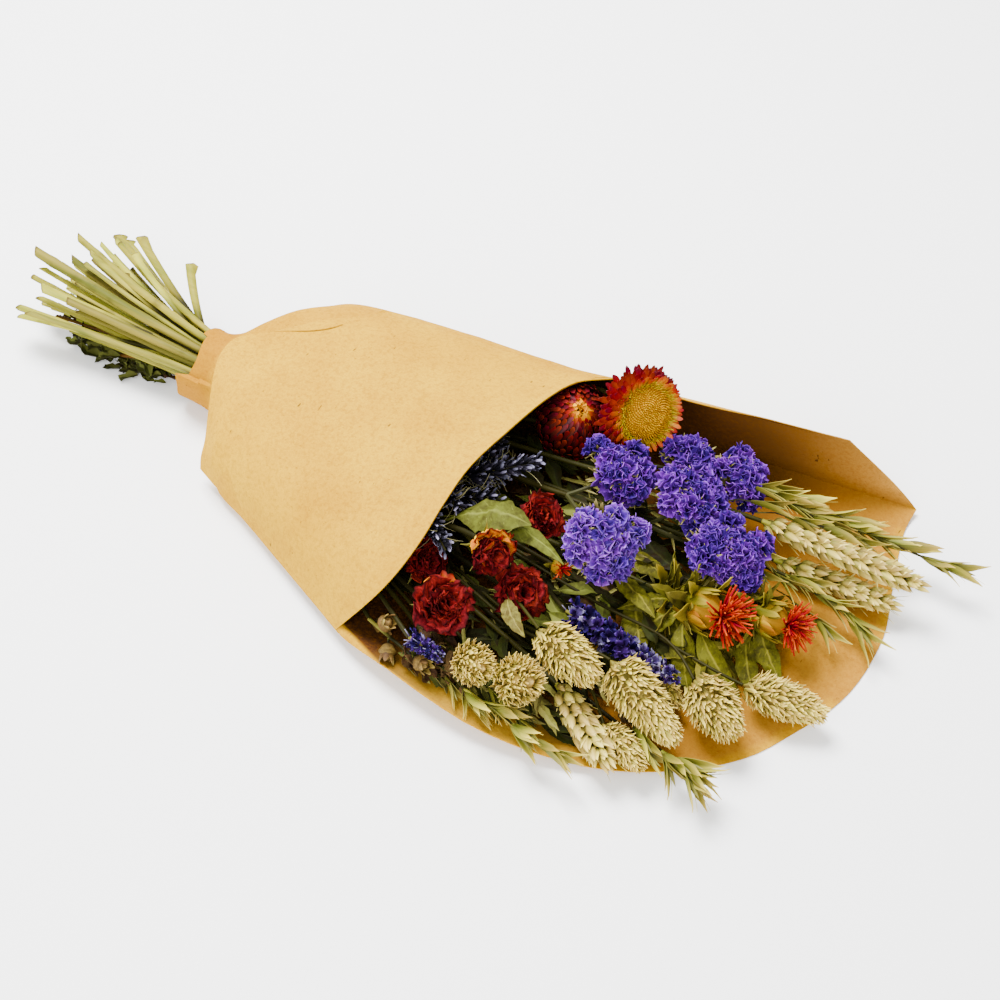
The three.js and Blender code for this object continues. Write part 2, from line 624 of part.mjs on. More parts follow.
function larkspurSpike(length, size) {
  const core = skin([
    ringAt(vec(0, 0, 0), size * 0.25, 5),
    ringAt(vec(0, 0, length * 0.25), size * 0.5, 5),
    ringAt(vec(0, 0, length * 0.8), size * 0.32, 5),
    [vec(0, 0, length)],
  ]);
  const number = Math.max(4, Math.round(length / 7.5));
  const stars = count(number).map((k) => {
    const t = (k + 0.4) / number;
    const a = k * 2.4;
    const reach = size * 0.3;
    const small = 1 - 0.45 * t ** 2;
    const frame = stand(
      [reach * Math.cos(a), reach * Math.sin(a), length * t * 0.93],
      [Math.cos(a), Math.sin(a), 0.55],
      k,
    );
    return larkspurStar(size * 0.86 * small).applyMatrix4(frame);
  });
  return [core, ...stars];
}

function safflowerBud(size) {
  const bud = skin([
    ringAt(vec(0, 0, 0), size * 0.3, 6),
    ringAt(vec(0, 0, size * 0.4), size * 0.78, 6),
    ringAt(vec(0, 0, size * 0.95), size * 0.86, 6, 0.2),
    ringAt(vec(0, 0, size * 1.4), size * 0.4, 6),
  ]);
  const whorls = size > 6 ? [[5, 0.15, 0.75], [5, 0.55, 0.95]] : [[4, 0.4, 0.9]];
  const bracts = whorls.flatMap(([number, height, share], w) =>
    count(number).map((k) => {
      const a = (TURN * (k + w / 2)) / number;
      const frame = stand(
        [size * 0.55 * Math.cos(a), size * 0.55 * Math.sin(a), size * height * 0.5],
        [Math.cos(a) * 0.62, Math.sin(a) * 0.62, 0.8],
      );
      return spike(size * share * 1.15, size * 0.5, 1.3, 0, 0.8, 0.4).rotateZ(a).applyMatrix4(frame);
    }),
  );
  return [bud, ...bracts];
}

function safflowerTuft(size) {
  const foot = size * 1.4 + SEAT;
  const core = skin([
    ringAt(vec(0, 0, foot), size * 0.32, 6),
    ringAt(vec(0, 0, foot + size * 0.3), size * 0.4, 6),
    ringAt(vec(0, 0, foot + size * 0.55), size * 0.22, 6),
  ]);
  const number = size > 6 ? 13 : 5;
  const random = dice(Math.round(size * 7));
  const needles = count(number).map((k) => {
    const tilt = 1.25 * Math.sqrt((k + 0.5) / number);
    const a = k * 2.39996 + 0.4 * (random() - 0.5);
    const aim = [Math.sin(tilt) * Math.cos(a), Math.sin(tilt) * Math.sin(a), Math.cos(tilt)];
    const needle = skin([
      ringAt(vec(0, 0, 0), size * 0.11, 3),
      ringAt(vec(0, 0, size * (0.95 + 0.35 * random())), size * 0.07, 3),
    ]);
    return needle.applyMatrix4(stand([0, 0, foot + size * 0.22], aim));
  });
  return [core, ...needles];
}

function capsuleSprig(length, size) {
  const axis = skin([ringAt(vec(0, 0, -2), 1.1, 4), ringAt(vec(0, 0, length), 0.8, 4)]);
  const pods = count(5).flatMap((k) => {
    const a = k * 2.2 + 0.5;
    const reach = k === 4 ? 0.5 : 3;
    const frame = stand([0, 0, length * (k / 4) - 2], [reach * Math.cos(a), reach * Math.sin(a), 2.5]);
    const pod = skin([
      ringAt(vec(0, 0, 0), 0.8, 5),
      ringAt(vec(0, 0, 3 + size * 0.5), size * 0.95, 5),
      ringAt(vec(0, 0, 3 + size * 1.25), size * 0.78, 5),
      [vec(0, 0, 3 + size * 1.9)],
    ]);
    return placed([pod], frame);
  });
  return [axis, ...pods];
}

// A leaf with a short stalk and an arched blade, from root to tip.
function leafBlade(root, via, tip, width, thickness = 0.8) {
  const line = new THREE.QuadraticBezierCurve3(root, via, tip);
  // A broad leaf has toothed edges.
  const [stops, shares] =
    width > 12
      ? [[0, 0.2, 0.32, 0.42, 0.52, 0.63, 0.74, 0.86, 1], [0, 0, 0.3, 0.48, 0.43, 0.5, 0.36, 0.32, 0]]
      : [[0, 0.22, 0.5, 0.76, 1], [0, 0, 0.5, 0.36, 0]];
  const grid = stops.map((s, i) => {
    const run = line.getTangent(s);
    const across = run.clone().cross(vec(0, 0, 1)).normalize();
    const up = across.clone().cross(run).normalize();
    const half = Math.max(0.7, width * shares[i]);
    const droop = shares[i] * width * 0.26;
    return [-1, 0, 1].map((u) =>
      line.getPoint(s).addScaledVector(across, u * half).addScaledVector(up, u ? -droop : 0),
    );
  });
  return [sheet(grid, thickness)];
}

// ---------------------------------------------------------------- paper wrap

// Lanes round the wrap's section: an angle over the crown, or a share of the width under it,
// and where each lane ends on the cut edge of the paper.
const CROWN_LANES = [
  [180, -22, -101, 8], [166, -10, -96, 26], [152, -3, -89, 37], [138, 1, -79, 45], [123, 2, -64, 50.5],
  [108, 1, -47, 55], [93, 0, -24, 58.5], [77, 3, 3, 60], [62, 5, 28, 58.5], [49, 10, 50, 56],
  [38, 22, 66, 52], [28, 58, 76, 46.5], [20, 93, 90, 41], [12, 129, 107, 35], [5, 152, 110.5, 18],
  [0, 165, 112, 3],
];
const BASE_LANES = [
  [0.93, 171, 101, 0], [0.64, 179, 66, 0], [0.38, 184, 32, 0], [0.1, 186, -2, 0], [-0.18, 176, -34, 0],
  [-0.44, 158, -66, 0.8], [-0.66, 118, -98, 3.5], [-0.83, 66, -113, 8.5], [-0.95, 12, -110, 12],
];
const FOLD_Z = 7; // height of the widest line of the section

function wrapGrid() {
  const lanes = CROWN_LANES.length + BASE_LANES.length;
  const half = PAPER / 2;
  // A point of the section at x: round at the neck, a flat-based superellipse in the body.
  const section = ({ x, yc, width, top, fold, bottom, body }) => [
    ...CROWN_LANES.map(([degrees]) => {
      const a = THREE.MathUtils.degToRad(degrees);
      const power = lerp(1, 2 / CROWN_POWER, body);
      const [c, s] = [Math.cos(a), Math.sin(a)];
      return vec(
        x,
        yc + width * Math.sign(c) * Math.abs(c) ** power,
        fold + (top - fold) * Math.abs(s) ** power,
      );
    }),
    ...BASE_LANES.map(([share], j) => {
      const a = (-Math.PI * (j + 1)) / (BASE_LANES.length + 1);
      const flat = Math.abs(share) > 0.9 ? fold * 0.25 : bottom;
      return vec(
        x,
        lerp(yc + width * Math.cos(a), yc + width * share, body),
        lerp(fold + (fold - bottom) * Math.sin(a), flat, body),
      );
    }),
  ];
  const neck = (x, radius, lift = 0) => ({
    x, yc: TIE.y, width: radius, top: TIE.z + radius + lift, fold: TIE.z + lift, bottom: TIE.z - radius + lift, body: 0,
  });
  const rings = [
    section(neck(-179, COLLAR.radius * 1.04)),
    section(neck(COLLAR.x, COLLAR.radius)),
    section({ x: -160, yc: -1, width: 29, top: 38.5, fold: 15, bottom: 1.4, body: 0.45 }),
    section({ x: -148, yc: 1, width: 46, top: 41, fold: 10, bottom: half, body: 0.85 }),
    section({ x: SHOULDER_X, yc: 2, width: 59, top: 44.5, fold: FOLD_Z, bottom: half, body: 1 }),
  ];
  // The end of the collar is cut on the slant.
  rings[0].forEach((p) => (p.x += (p.y - TIE.y) * 0.16 + (p.z - TIE.z) * 0.06));
  const shoulder = rings[rings.length - 1];
  const rim = [...CROWN_LANES, ...BASE_LANES].map(([, x, y, z]) => vec(x, y, Math.max(z, half)));
  for (const u of [0.3, 0.6, 0.82, 1]) {
    rings.push(count(lanes).map((j) => shoulder[j].clone().lerp(rim[j], u)));
  }
  return rings;
}

// The free end of the front flap, a second layer that lies over the shoulder of the wrap.
function flapGrid(grid) {
  const shoulder = grid[4];
  const inner = grid[5];
  const freeEdge = [
    [-130, -60, 10], [-136, -56, 20], [-139, -49, 30], [-143, -38, 38], [-148, -25, 43.5],
    [-150, -11, 46.5], [-148, 2, 48], [-139, 14, 49], [-127, 25, 49.5], [-114, 36, 49.5], [-102, 47, 48],
  ];
  const rows = [[0.1, 3], [0.6, 1], [1, 0.1]];
  return [
    freeEdge.map((p) => vec(...p)),
    ...rows.map(([u, lift]) =>
      freeEdge.map((_, j) => {
        const point = shoulder[j].clone().lerp(inner[j], u);
        const out = vec(0, point.y, point.z - 6).normalize();
        return point.addScaledVector(out, lift);
      }),
    ),
  ];
}

// ---------------------------------------------------------------- assembly

const bouquet = new THREE.Group();

function add(name, solid, colour, roughness = 0.8) {
  const { vertProperties, triVerts, numProp } = solid.getMesh();
  const geometry = new THREE.BufferGeometry();
  const points = [];
  for (let i = 0; i < vertProperties.length; i += numProp) {
    points.push(vec(vertProperties[i], vertProperties[i + 1], vertProperties[i + 2]));
  }
  geometry.setFromPoints(points).setIndex([...triVerts]);
  geometry.computeVertexNormals();
  const material = new THREE.MeshStandardMaterial({ color: colour, roughness, metalness: 0 });
  const mesh = new THREE.Mesh(geometry, material);
  mesh.name = name;
  bouquet.add(mesh);
}

function buildWrap() {
  const grid = wrapGrid();
  const tube = sheet(grid, PAPER, true);
  const position = tube.attributes.position;
  // The underside lies flat on the table.
  for (let i = 0; i < position.count; i++) {
    if (position.getZ(i) < 0.02) position.setZ(i, 0);
  }
  add("paper_wrap", fuse([tube, sheet(flapGrid(grid), PAPER)]), COLOURS.kraft, 0.85);
}

function buildBand(stems) {
  const spread = stems.map(({ knots, radius }) => {
    const next = knots[1];
    const t = (TIE.width / 2 + 0.5) / (next.x - TIE.x);
    const edge = Math.hypot(lerp(knots[0].y, next.y, t) - TIE.y, lerp(knots[0].z, next.z, t) - TIE.z);
    return radius + Math.max(edge, 1.02 * Math.hypot(knots[0].y - TIE.y, knots[0].z - TIE.z));
  });
  const inner = Math.max(...spread) + SEAT;
  const profile = [
    [inner, -1], [inner, 1], [inner + TIE.thickness, 0.7], [inner + TIE.thickness, -0.7],
  ].map(([r, s]) => new THREE.Vector2(r, (s * TIE.width) / 2));
  profile.push(profile[0].clone());
  const lathe = new THREE.LatheGeometry(profile, 20).rotateZ(-Math.PI / 2).translate(TIE.x, TIE.y, TIE.z);
  lathe.deleteAttribute("normal");
  lathe.deleteAttribute("uv");
  add("stem_band", solidOf(mergeByPlace(lathe)), COLOURS.band);
  return inner + TIE.thickness;
}

// A lathe's seam points merged, so that it closes.
function mergeByPlace(geometry) {
  const seen = new Map();
  const points = [];
  const position = geometry.attributes.position;
  const at = (i) => {
    const key = [position.getX(i), position.getY(i), position.getZ(i)].map((n) => n.toFixed(3)).join();
    if (!seen.has(key)) {
      seen.set(key, points.length);
      points.push(vec(position.getX(i), position.getY(i), position.getZ(i)));
    }
    return seen.get(key);
  };
  const faces = [];
  for (let i = 0; i < geometry.index.count; i += 3) {
    const face = [0, 1, 2].map((k) => at(geometry.index.getX(i + k)));
    if (new Set(face).size === 3) faces.push(...face);
  }
  return geometryOf(points, faces);
}

// Two heads that press on each other are each cut flat, just short of the plane between them.
function pressApart(heads) {
  for (let i = 0; i < heads.length; i++) {
    for (let j = i + 1; j < heads.length; j++) {
      const [a, b] = [heads[i], heads[j]];
      if (a.owner === b.owner && !a.comb) continue;
      if (a.solid.minGap(b.solid, 1) >= SEAT) continue;
      let best = null;
      for (const p of a.spheres) {
        for (const q of b.spheres) {
          const gap = p.center.distanceTo(q.center) - p.radius - q.radius;
          if (!best || gap < best.gap) best = { gap, p, q };
        }
      }
      const normal = best.q.center.clone().sub(best.p.center);
      const distance = normal.length();
      normal.normalize();
      const middle = (distance * best.p.radius) / (best.p.radius + best.q.radius);
      const offset = normal.dot(best.p.center) + middle;
      a.solid = largest(a.solid.trimByPlane(normal.clone().negate().toArray(), -(offset - SEAT / 2)));
      b.solid = largest(b.solid.trimByPlane(normal.toArray(), offset + SEAT / 2));
    }
  }
}

function buildPlants(stems) {
  const random = dice(5);
  stems.forEach((stem) => {
    stem.route = [...tailKnots(stem, random), ...stem.knots];
  });
  const heads = [];
  const growth = stems.map((stem) => {
    const { plant } = stem;
    const frame = stand(plant.base, plant.aim);
    const own = { stem, green: [] };
    const head = (name, geometries, colour, spheres = headSpheres(plant), comb = false) =>
      heads.push({ name, owner: plant.name, solid: fuse(geometries), colour, spheres, comb, own });
    const sides = plant.stem > 2.1 ? 5 : 4;
    if (plant.kind === "strawflower") {
      const closedIn = plant.name === "strawflower_dark";
      head(plant.name, placed(strawBracts(plant.size, closedIn), frame), closedIn ? COLOURS.darkRed : COLOURS.flameRed);
      if (!closedIn) head("strawflower_gold_disc", placed(strawDisc(plant.size), frame), COLOURS.gold);
      own.green = [stemGeometry(stem, sides)];
    } else if (plant.kind === "statice") {
      plant.combs.forEach((comb) => {
        const ball = {
          center: vec(...comb.base).addScaledVector(vec(...comb.aim).normalize(), comb.height * 0.6),
          radius: (comb.length + comb.width) / 4,
        };
        head(comb.name, placed(staticeComb(comb), stand(comb.base, comb.aim)), COLOURS.purple, [ball], true);
        const from = vec(...plant.base);
        const to = vec(...comb.base).addScaledVector(vec(...comb.aim).normalize(), -SEAT - 0.9);
        own.green.push(
          skin([
            ringAt(vec(0, 0, -2), 1.5, 4),
            ringAt(vec(0, 0, from.distanceTo(to)), 1.2, 4),
          ]).applyMatrix4(stand(plant.base, to.sub(from).toArray())),
        );
      });
      own.green.push(stemGeometry(stem, 4));
    } else if (plant.kind === "rose") {
      head(plant.name, placed(roseBloom(plant.size, plant.name.charCodeAt(5)), stand(plant.base, plant.aim)), COLOURS.roseRed);
      own.green = [stemGeometry(stem, sides)];
    } else if (plant.kind === "larkspur") {
      head(plant.name, placed(larkspurSpike(plant.length, plant.size), frame), COLOURS.indigo);
      own.green = [stemGeometry(stem, sides)];
    } else if (plant.kind === "safflower") {
      head(plant.name + "_tuft", placed(safflowerTuft(plant.size), frame), COLOURS.safflower);
      head(plant.name, placed(safflowerBud(plant.size), frame), COLOURS.sage);
      heads[heads.length - 1].keepsStem = true;
      own.green = [stemGeometry(stem, sides)];
    } else if (plant.kind === "lavender") {
      const shape = { rows: 9, scales: 4, fullness: 0.75, lift: 0.2 };
      head(plant.name, placed(scaledHead(plant.length, plant.size, shape), frame), COLOURS.lavender);
      own.green = [stemGeometry(stem, sides)];
    } else {
      const shapes = {
        canary: () => canaryHead(plant),
        wheat: () => wheatEar(plant.length, plant.size),
        oat: () => oatPanicle(plant),
        capsules: () => capsuleSprig(plant.length, plant.size),
      };
      const colours = { canary: COLOURS.canary, wheat: COLOURS.wheat, oat: COLOURS.oat, capsules: COLOURS.capsule };
      head(plant.name, placed(shapes[plant.kind](), frame), colours[plant.kind]);
      heads[heads.length - 1].keepsStem = true;
      own.green = [stemGeometry(stem, sides)];
    }
    return own;
  });

  pressApart(heads);

  for (const leaf of LEAVES) {
    const own = growth.find((g) => g.stem.plant.name === leaf.plant);
    const { route } = own.stem;
    const k = route.findIndex((p) => p.x > leaf.at);
    const t = (leaf.at - route[k - 1].x) / (route[k].x - route[k - 1].x);
    const root = route[k - 1].clone().lerp(route[k], t);
    own.green.push(...leafBlade(root, vec(...leaf.via), vec(...leaf.tip), leaf.width));
  }

  for (const head of heads) {
    const solid = head.keepsStem ? fuse([head.solid, ...head.own.green]) : head.solid;
    add(head.name, solid, head.colour);
  }
  for (const { stem, green } of growth) {
    const { plant } = stem;
    if (heads.some((h) => h.keepsStem && h.owner === plant.name)) continue;
    const colour = { rose: COLOURS.deepGreen, statice: COLOURS.sage }[plant.kind] ?? COLOURS.straw;
    add(plant.name + "_stem", fuse(green), colour);
  }
}

const stems = layRoutes();
buildBand(stems);
buildWrap();
buildPlants(stems);

export default bouquet;
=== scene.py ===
import math
import random

import bpy
import numpy as np
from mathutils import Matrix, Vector, noise


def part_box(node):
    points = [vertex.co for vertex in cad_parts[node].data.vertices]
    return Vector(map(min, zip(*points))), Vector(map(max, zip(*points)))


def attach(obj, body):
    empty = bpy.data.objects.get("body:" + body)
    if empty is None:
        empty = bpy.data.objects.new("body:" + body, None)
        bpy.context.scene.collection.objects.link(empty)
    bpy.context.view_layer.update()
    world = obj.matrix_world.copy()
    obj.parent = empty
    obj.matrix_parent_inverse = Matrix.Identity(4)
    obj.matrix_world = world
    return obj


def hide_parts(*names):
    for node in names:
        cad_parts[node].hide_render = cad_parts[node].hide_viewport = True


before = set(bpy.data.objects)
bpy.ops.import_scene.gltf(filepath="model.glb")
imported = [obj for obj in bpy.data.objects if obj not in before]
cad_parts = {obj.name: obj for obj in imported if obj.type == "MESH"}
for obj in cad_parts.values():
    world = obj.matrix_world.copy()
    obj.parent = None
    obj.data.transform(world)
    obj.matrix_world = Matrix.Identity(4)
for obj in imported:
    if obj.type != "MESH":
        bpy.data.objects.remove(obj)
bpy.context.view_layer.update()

bl_info = {
    "name": "Dried flower bouquet",
    "version": (1, 0, 0),
    "blender": (4, 5, 0),
    "location": "View3D > Sidebar > Bouquet",
    "description": "A mixed bouquet of dried flowers and ears in a kraft paper wrap",
    "category": "Add Mesh",
}

MM = 0.001
GOLDEN = math.pi * (3 - math.sqrt(5))

# ---------------------------------------------------------------- planting plan, in mm

# Each bloom or ear has its base, the way it points and its sizes.
STRAWFLOWERS = {
    "strawflower_dark": ((9, 48, 30), (0.42, -0.3, 0.86), 19.5),
    "strawflower_gold": ((40, 55, 51), (0.85, -0.39, 0.4), 20.5),
}
# base, aim, length, width, height, lumps of florets
STATICE_COMBS = {
    "statice_comb_1": ((50, 21, 41), (0.35, 0.05, 0.94), 33, 30, 13, 11),
    "statice_comb_2": ((65, -17, 41), (0.55, -0.5, 0.67), 38, 36, 15, 14),
    "statice_comb_3": ((70, 55, 30), (0.3, -0.1, 0.95), 27, 25, 11, 7),
    "statice_comb_4": ((85, 27, 37), (0.25, 0.0, 0.97), 37, 28, 13, 11),
    "statice_comb_5": ((95, 56, 31), (0.35, -0.1, 0.93), 25, 22, 12, 7),
    "statice_comb_6": ((112, 13, 31), (0.45, -0.2, 0.87), 43, 36, 15, 15),
}
LILAC_COMB = "statice_comb_2"
# where each stem forks, and the combs it carries
STATICE_STEMS = {
    "statice_left": ((34, 4, 34), ("statice_comb_1", "statice_comb_2")),
    "statice_far": ((54, 48, 17), ("statice_comb_3", "statice_comb_5")),
    "statice_middle": ((70, 16, 24), ("statice_comb_4", "statice_comb_6")),
}
ROSES = {
    "rose_1": ((-8, -59, 26), (0.8, -0.2, 0.5), 12),
    "rose_2": ((18, -79, 26), (0.5, -0.25, 0.83), 14),
    "rose_3": ((22, -50, 47), (0.86, -0.42, 0.25), 13),
    "rose_4": ((40, -51, 24.5), (0.62, -0.35, 0.7), 13.5),
    "rose_5": ((27, -13, 28), (0.55, -0.25, 0.8), 12.5),
}
# roses with blush outer petals: the way their pale side faces, and among how many petals they are
BLUSH_ROSES = {"rose_3": ((-0.3, 0.6, 0.9), 13), "rose_2": ((-0.8, 0.3, 0.3), 4)}
# base, aim, radius, length, florets
LARKSPURS = {
    "larkspur_long": ((66, -48, 24.5), (62, -6, -1), 9.2, 62, 64),
    "larkspur_short": ((17, -99, 26), (18, -2, 1), 6.2, 20, 24),
}
SAFFLOWERS = {
    "safflower_left": ((107, -12, 20), (0.96, -0.07, 0.26), 14),
    "safflower_right": ((135, 2, 17), (0.98, 0.0, 0.18), 12),
    "safflower_small": ((50, -33, 31), (0.85, -0.3, 0.4), 4.5),
}
# base, aim, radius, length
LAVENDERS = {
    "lavender_far": ((-24, -6, 22), (21, 18, 24), 5.4, 36),
    "lavender_middle": ((-12, -12, 34), (31, 22, 9), 5.6, 39),
    "lavender_near": ((-34, -42, 32), (26, 17, 12), 5.4, 33),
    "lavender_low": ((-20, -40, 44), (35, -25, 3), 5.4, 42),
}
# base, aim, radius, length, and a fullness that is lower where the head is stout to its tip
CANARY_GRASSES = {
    "canary_grass_1": ((41, -93, 21), (14, -6, 10), 10, 23, 0.72),
    "canary_grass_2": ((62, -92, 21), (15, -4, 13), 11.5, 26, 0.72),
    "canary_grass_3": ((66, -71, 36), (33, -7, -5), 11.5, 36, 0.72),
    "canary_grass_4": ((98, -64, 29), (45, -16, -12), 12, 48, 0.55),
    "canary_grass_5": ((131, -48, 21), (25, -12, -4), 12, 33, 0.72),
    "canary_grass_6": ((148, -34, 14), (36, 6, -2), 10, 40, 0.72),
    "canary_grass_7": ((104, -42, 11), (28, -16, 0), 6, 32, 0.72),
    "canary_grass_8": ((108, -85, 14), (27, -11, -1), 7.5, 29, 0.72),
}
# base, aim, radius, length, turn of its flat side
WHEATS = {
    "wheat_1": ((116, 43, 29), (76, 11, -8), 7.6, 80, 0.3),
    "wheat_2": ((126, 40, 11), (56, 5, 0), 7, 60, 0.3),
    "wheat_3": ((80, -77, 12), (37, -23, 2), 8.4, 47, math.pi / 2),
}
# base, aim, length, and for each spikelet: share of the length, turn, size, then lean and twist
# where they aren't the usual ones
USUAL_BEND = (0.3, 1.6)
OATS = {
    "oat_far": (
        (100, 66, 22), (92, 8, -5), 92,
        ((0.02, 3.6, 26), (0.16, 2.0, 27), (0.3, 4.2, 28), (0.45, 2.4, 26), (0.6, 3.9, 27),
         (0.76, 2.2, 24), (1.0, 3.1, 24, 0.12, 1.6)),
    ),
    "oat_middle": (
        (136, 31, 15), (50, -4, -3), 32,
        ((0.1, 2.6, 22), (0.55, 3.6, 24), (1.0, 4.7, 30, 0.42, 0.3)),
    ),
    "oat_near": (
        (50, -104, 17), (52, -7, -2), 42,
        ((0.0, 4.5, 22), (0.3, 2.2, 21), (0.62, 4.4, 22), (1.0, 3.2, 23, 0.12, 1.6)),
    ),
    "oat_front": (
        (137, -84, 14), (30, -8, 0), 11,
        ((0.1, 4.6, 22, 0.5, 0.2), (0.5, 2.4, 23, 0.45, 1.6), (1.0, 1.7, 22, 0.4, 0.4),
         (1.0, 4.2, 24, 0.35, 0.3)),
    ),
}
# Spikelets that lie loose beside the ears: root, direction and size.
LOOSE_SPIKELETS = {
    "oat_far": (
        ((100, 52, 36), (0.9, 0.2, 0.1), 22), ((108, 44, 37), (0.95, 0.3, 0), 21),
        ((116, 57, 31), (0.95, 0.0, 0.1), 23), ((124, 48, 33), (0.97, 0.15, 0), 22),
        ((132, 60, 27), (0.98, -0.1, 0), 22), ((140, 54, 30), (0.97, 0.2, -0.1), 22),
        ((150, 60, 25), (0.98, 0.0, -0.1), 21), ((106, 60, 30), (0.9, -0.2, 0.15), 22),
    ),
    "oat_middle": (
        ((118, 22, 22), (0.9, -0.3, 0.05), 22), ((130, 26, 20), (0.9, -0.2, 0), 21),
        ((112, 30, 24), (0.95, -0.1, 0), 22), ((146, 20, 13), (0.85, -0.45, 0.05), 22),
        ((156, 18, 12), (0.9, -0.4, 0), 22),
    ),
    "oat_near": (
        ((44, -98, 14), (0.7, -0.65, 0.05), 20), ((56, -96, 15), (0.8, -0.5, 0), 20),
        ((36, -100, 13), (0.8, -0.5, 0), 19), ((70, -99, 13), (0.8, -0.4, -0.1), 20),
    ),
    "oat_front": (
        ((112, -72, 17), (0.9, -0.35, 0), 20), ((120, -80, 15), (0.85, -0.45, 0), 20),
        ((124, -86, 12), (0.95, -0.2, 0), 20),
    ),
}
# base, aim, pod size, length
CAPSULES = ((-8, -94, 16), (30, -8, 1), 4.2, 30)

# Leaves: where each leaves its stem along X, the point it bends towards, its tip and width.
LEAVES = {
    "rose_3_stem": (
        (-4, (16, -33, 54), (38, -33, 50), 21, "rose leaf"),
        (-14, (22, -24, 48), (58, -38, 41), 12, "rose leaf"),
    ),
    "safflower_left": (
        (-188, (-204, -10, 5), (-222, -20, 4), 10, "dark leaf"),
        (-206, (-226, -8, 5.5), (-247, -17, 4.5), 11, "dark leaf"),
        (60, (76, 2, 26), (95, -8, 23), 13, "bract leaf"),
        (62, (84, -20, 27), (102, -32, 27), 10, "bract leaf"),
        (78, (92, -30, 20), (104, -46, 13), 13, "bract leaf"),
        (98, (112, -28, 12), (132, -36, 6), 12, "bract leaf"),
        (92, (104, -34, 9), (122, -46, 5), 11, "bract leaf"),
        (70, (88, -8, 12), (104, -12, 10), 14, "dark leaf"),
        (110, (102, -24, 24), (90, -44, 12), 12, "bract leaf"),
        (104, (96, -20, 27), (82, -30, 18), 10, "bract leaf"),
        (106, (116, -34, 15), (128, -45, 6), 12, "bract leaf"),
        (110, (130, -32, 13), (148, -35, 6), 12, "bract leaf"),
    ),
    "safflower_right": (
        (104, (118, 6, 24), (136, 4, 26), 12, "bract leaf"),
        (110, (128, -12, 12), (146, -18, 7), 11, "bract leaf"),
        (112, (130, 14, 18), (150, 12, 14), 9, "bract leaf"),
        (134, (146, -10, 13), (160, -19, 6), 11, "bract leaf"),
        (132, (140, -22, 10), (154, -30, 5), 10, "bract leaf"),
    ),
    "safflower_small": ((36, (60, -27, 21), (82, -25, 17), 4, "dark leaf"),),
    "statice_middle_stem": ((66, (80, 4, 17), (96, 4, 22), 13, "dark leaf"),),
    "canary_grass_3": ((40, (50, -74, 40), (64, -79, 37), 8, "straw leaf"),),
}
# Dry leaves between the stems: piece, finish, shape, how many, sizes, and where they lie:
# x, y, z and heading.
# The near-black leaves inside the wrap are partly painted shade for the dark gaps between the stems.
FOLIAGE = (
    ("dark_leaves_mouth", "dark leaf", "leaves", 90, (0.6, 1.1), ((-40, 40), (-88, 40), (2, 24), 0)),
    ("dark_leaves_middle", "dark leaf", "leaves", 150, (0.6, 1.2),
     ((25, 112), (-58, 34), (2, 14), -0.2)),
    ("dark_leaves_high", "dark leaf", "leaves", 46, (0.5, 0.9),
     ((36, 98), (-28, 34), (13, 23), -0.2)),
    ("dark_leaves_near", "dark leaf", "tips", 70, (0.7, 1.2), ((0, 90), (-100, -60), (2, 11), -0.3)),
    ("olive_leaves", "rose leaf", "leaves", 34, (0.6, 1.0), ((-10, 75), (-70, 20), (5, 22), -0.1)),
    ("bract_leaves", "bract leaf", "tips", 56, (0.6, 1.05), ((84, 134), (-44, 10), (3, 13), -0.4)),
    ("brown_leaves", "brown leaf", "leaves", 46, (0.5, 0.95), ((-10, 110), (-80, 50), (2, 14), 0)),
    ("lip_leaves", "straw leaf", "tips", 44, (0.6, 1.0), ((12, 88), (-104, -78), (4, 16), -0.5)),
    ("lip_crumbs", "brown leaf", "crumbs", 60, (0.7, 1.4), ((-8, 44), (-104, -84), (6, 19), -0.8)),
    ("lip_tips", "olive leaf", "tips", 60, (0.6, 1.05), ((4, 74), (-106, -84), (4, 15), -0.9)),
    ("grass_blades", "straw leaf", "grass", 60, (0.5, 1.0), ((-20, 95), (-85, 45), (3, 17), 0)),
    ("tail_leaves_dark", "olive leaf", "crumbs", 110, (0.6, 1.5),
     ((-250, -188), (-20, -6), (2, 10), 3.0)),
    ("tail_leaves_brown", "brown leaf", "crumbs", 90, (0.5, 1.2),
     ((-262, -184), (-14, 3), (4, 13), 3.0)),
)
# Where the loose straws and twigs of the tails end, and how thick they are.
TAIL_STRAWS = (
    ((-271, -17, 31), 3.4), ((-212, 34, 37), 2.9), ((-250, 39, 34), 3.0), ((-275, -31, 20), 2.2),
    ((-272, 0, 34), 2.2), ((-268, 26, 31), 2.0), ((-276, -14, 16), 2.2), ((-272, -11, 12), 1.8),
    ((-262, 12, 38), 2.4), ((-240, 22, 40), 2.2),
)
TAIL_TWIGS = (
    ((-280, -9, 10), 1.8), ((-262, -7, 9), 2.0), ((-270, -12, 8), 1.5), ((-242, -14, 7), 1.8),
    ((-228, -18, 6), 1.6),
)

# The paper's lanes round its section: an angle over the crown, or a share of the width under it,
# then where each lane ends on the cut edge of the paper.
CROWN_LANES = (
    (180, -22, -101, 8), (166, -10, -96, 26), (152, -3, -89, 37), (138, 1, -79, 45),
    (123, 2, -64, 50.5), (108, 1, -47, 55), (93, 0, -24, 58.5), (77, 3, 3, 60), (62, 5, 28, 58.5),
    (49, 10, 50, 56), (38, 22, 66, 52), (28, 58, 75, 48), (20, 93, 88.5, 44.5), (12, 129, 103, 38.5),
    (5, 148, 109, 20), (0, 165, 112, 3),
)
BASE_LANES = (
    (0.93, 166, 96, 0), (0.64, 176, 63, 0), (0.38, 185, 34, 0), (0.1, 186, -2, 0),
    (-0.18, 176, -34, 0), (-0.44, 158, -66, 0.8), (-0.66, 118, -98, 3.5), (-0.83, 66, -113, 8.5),
    (-0.95, 12, -110, 12),
)
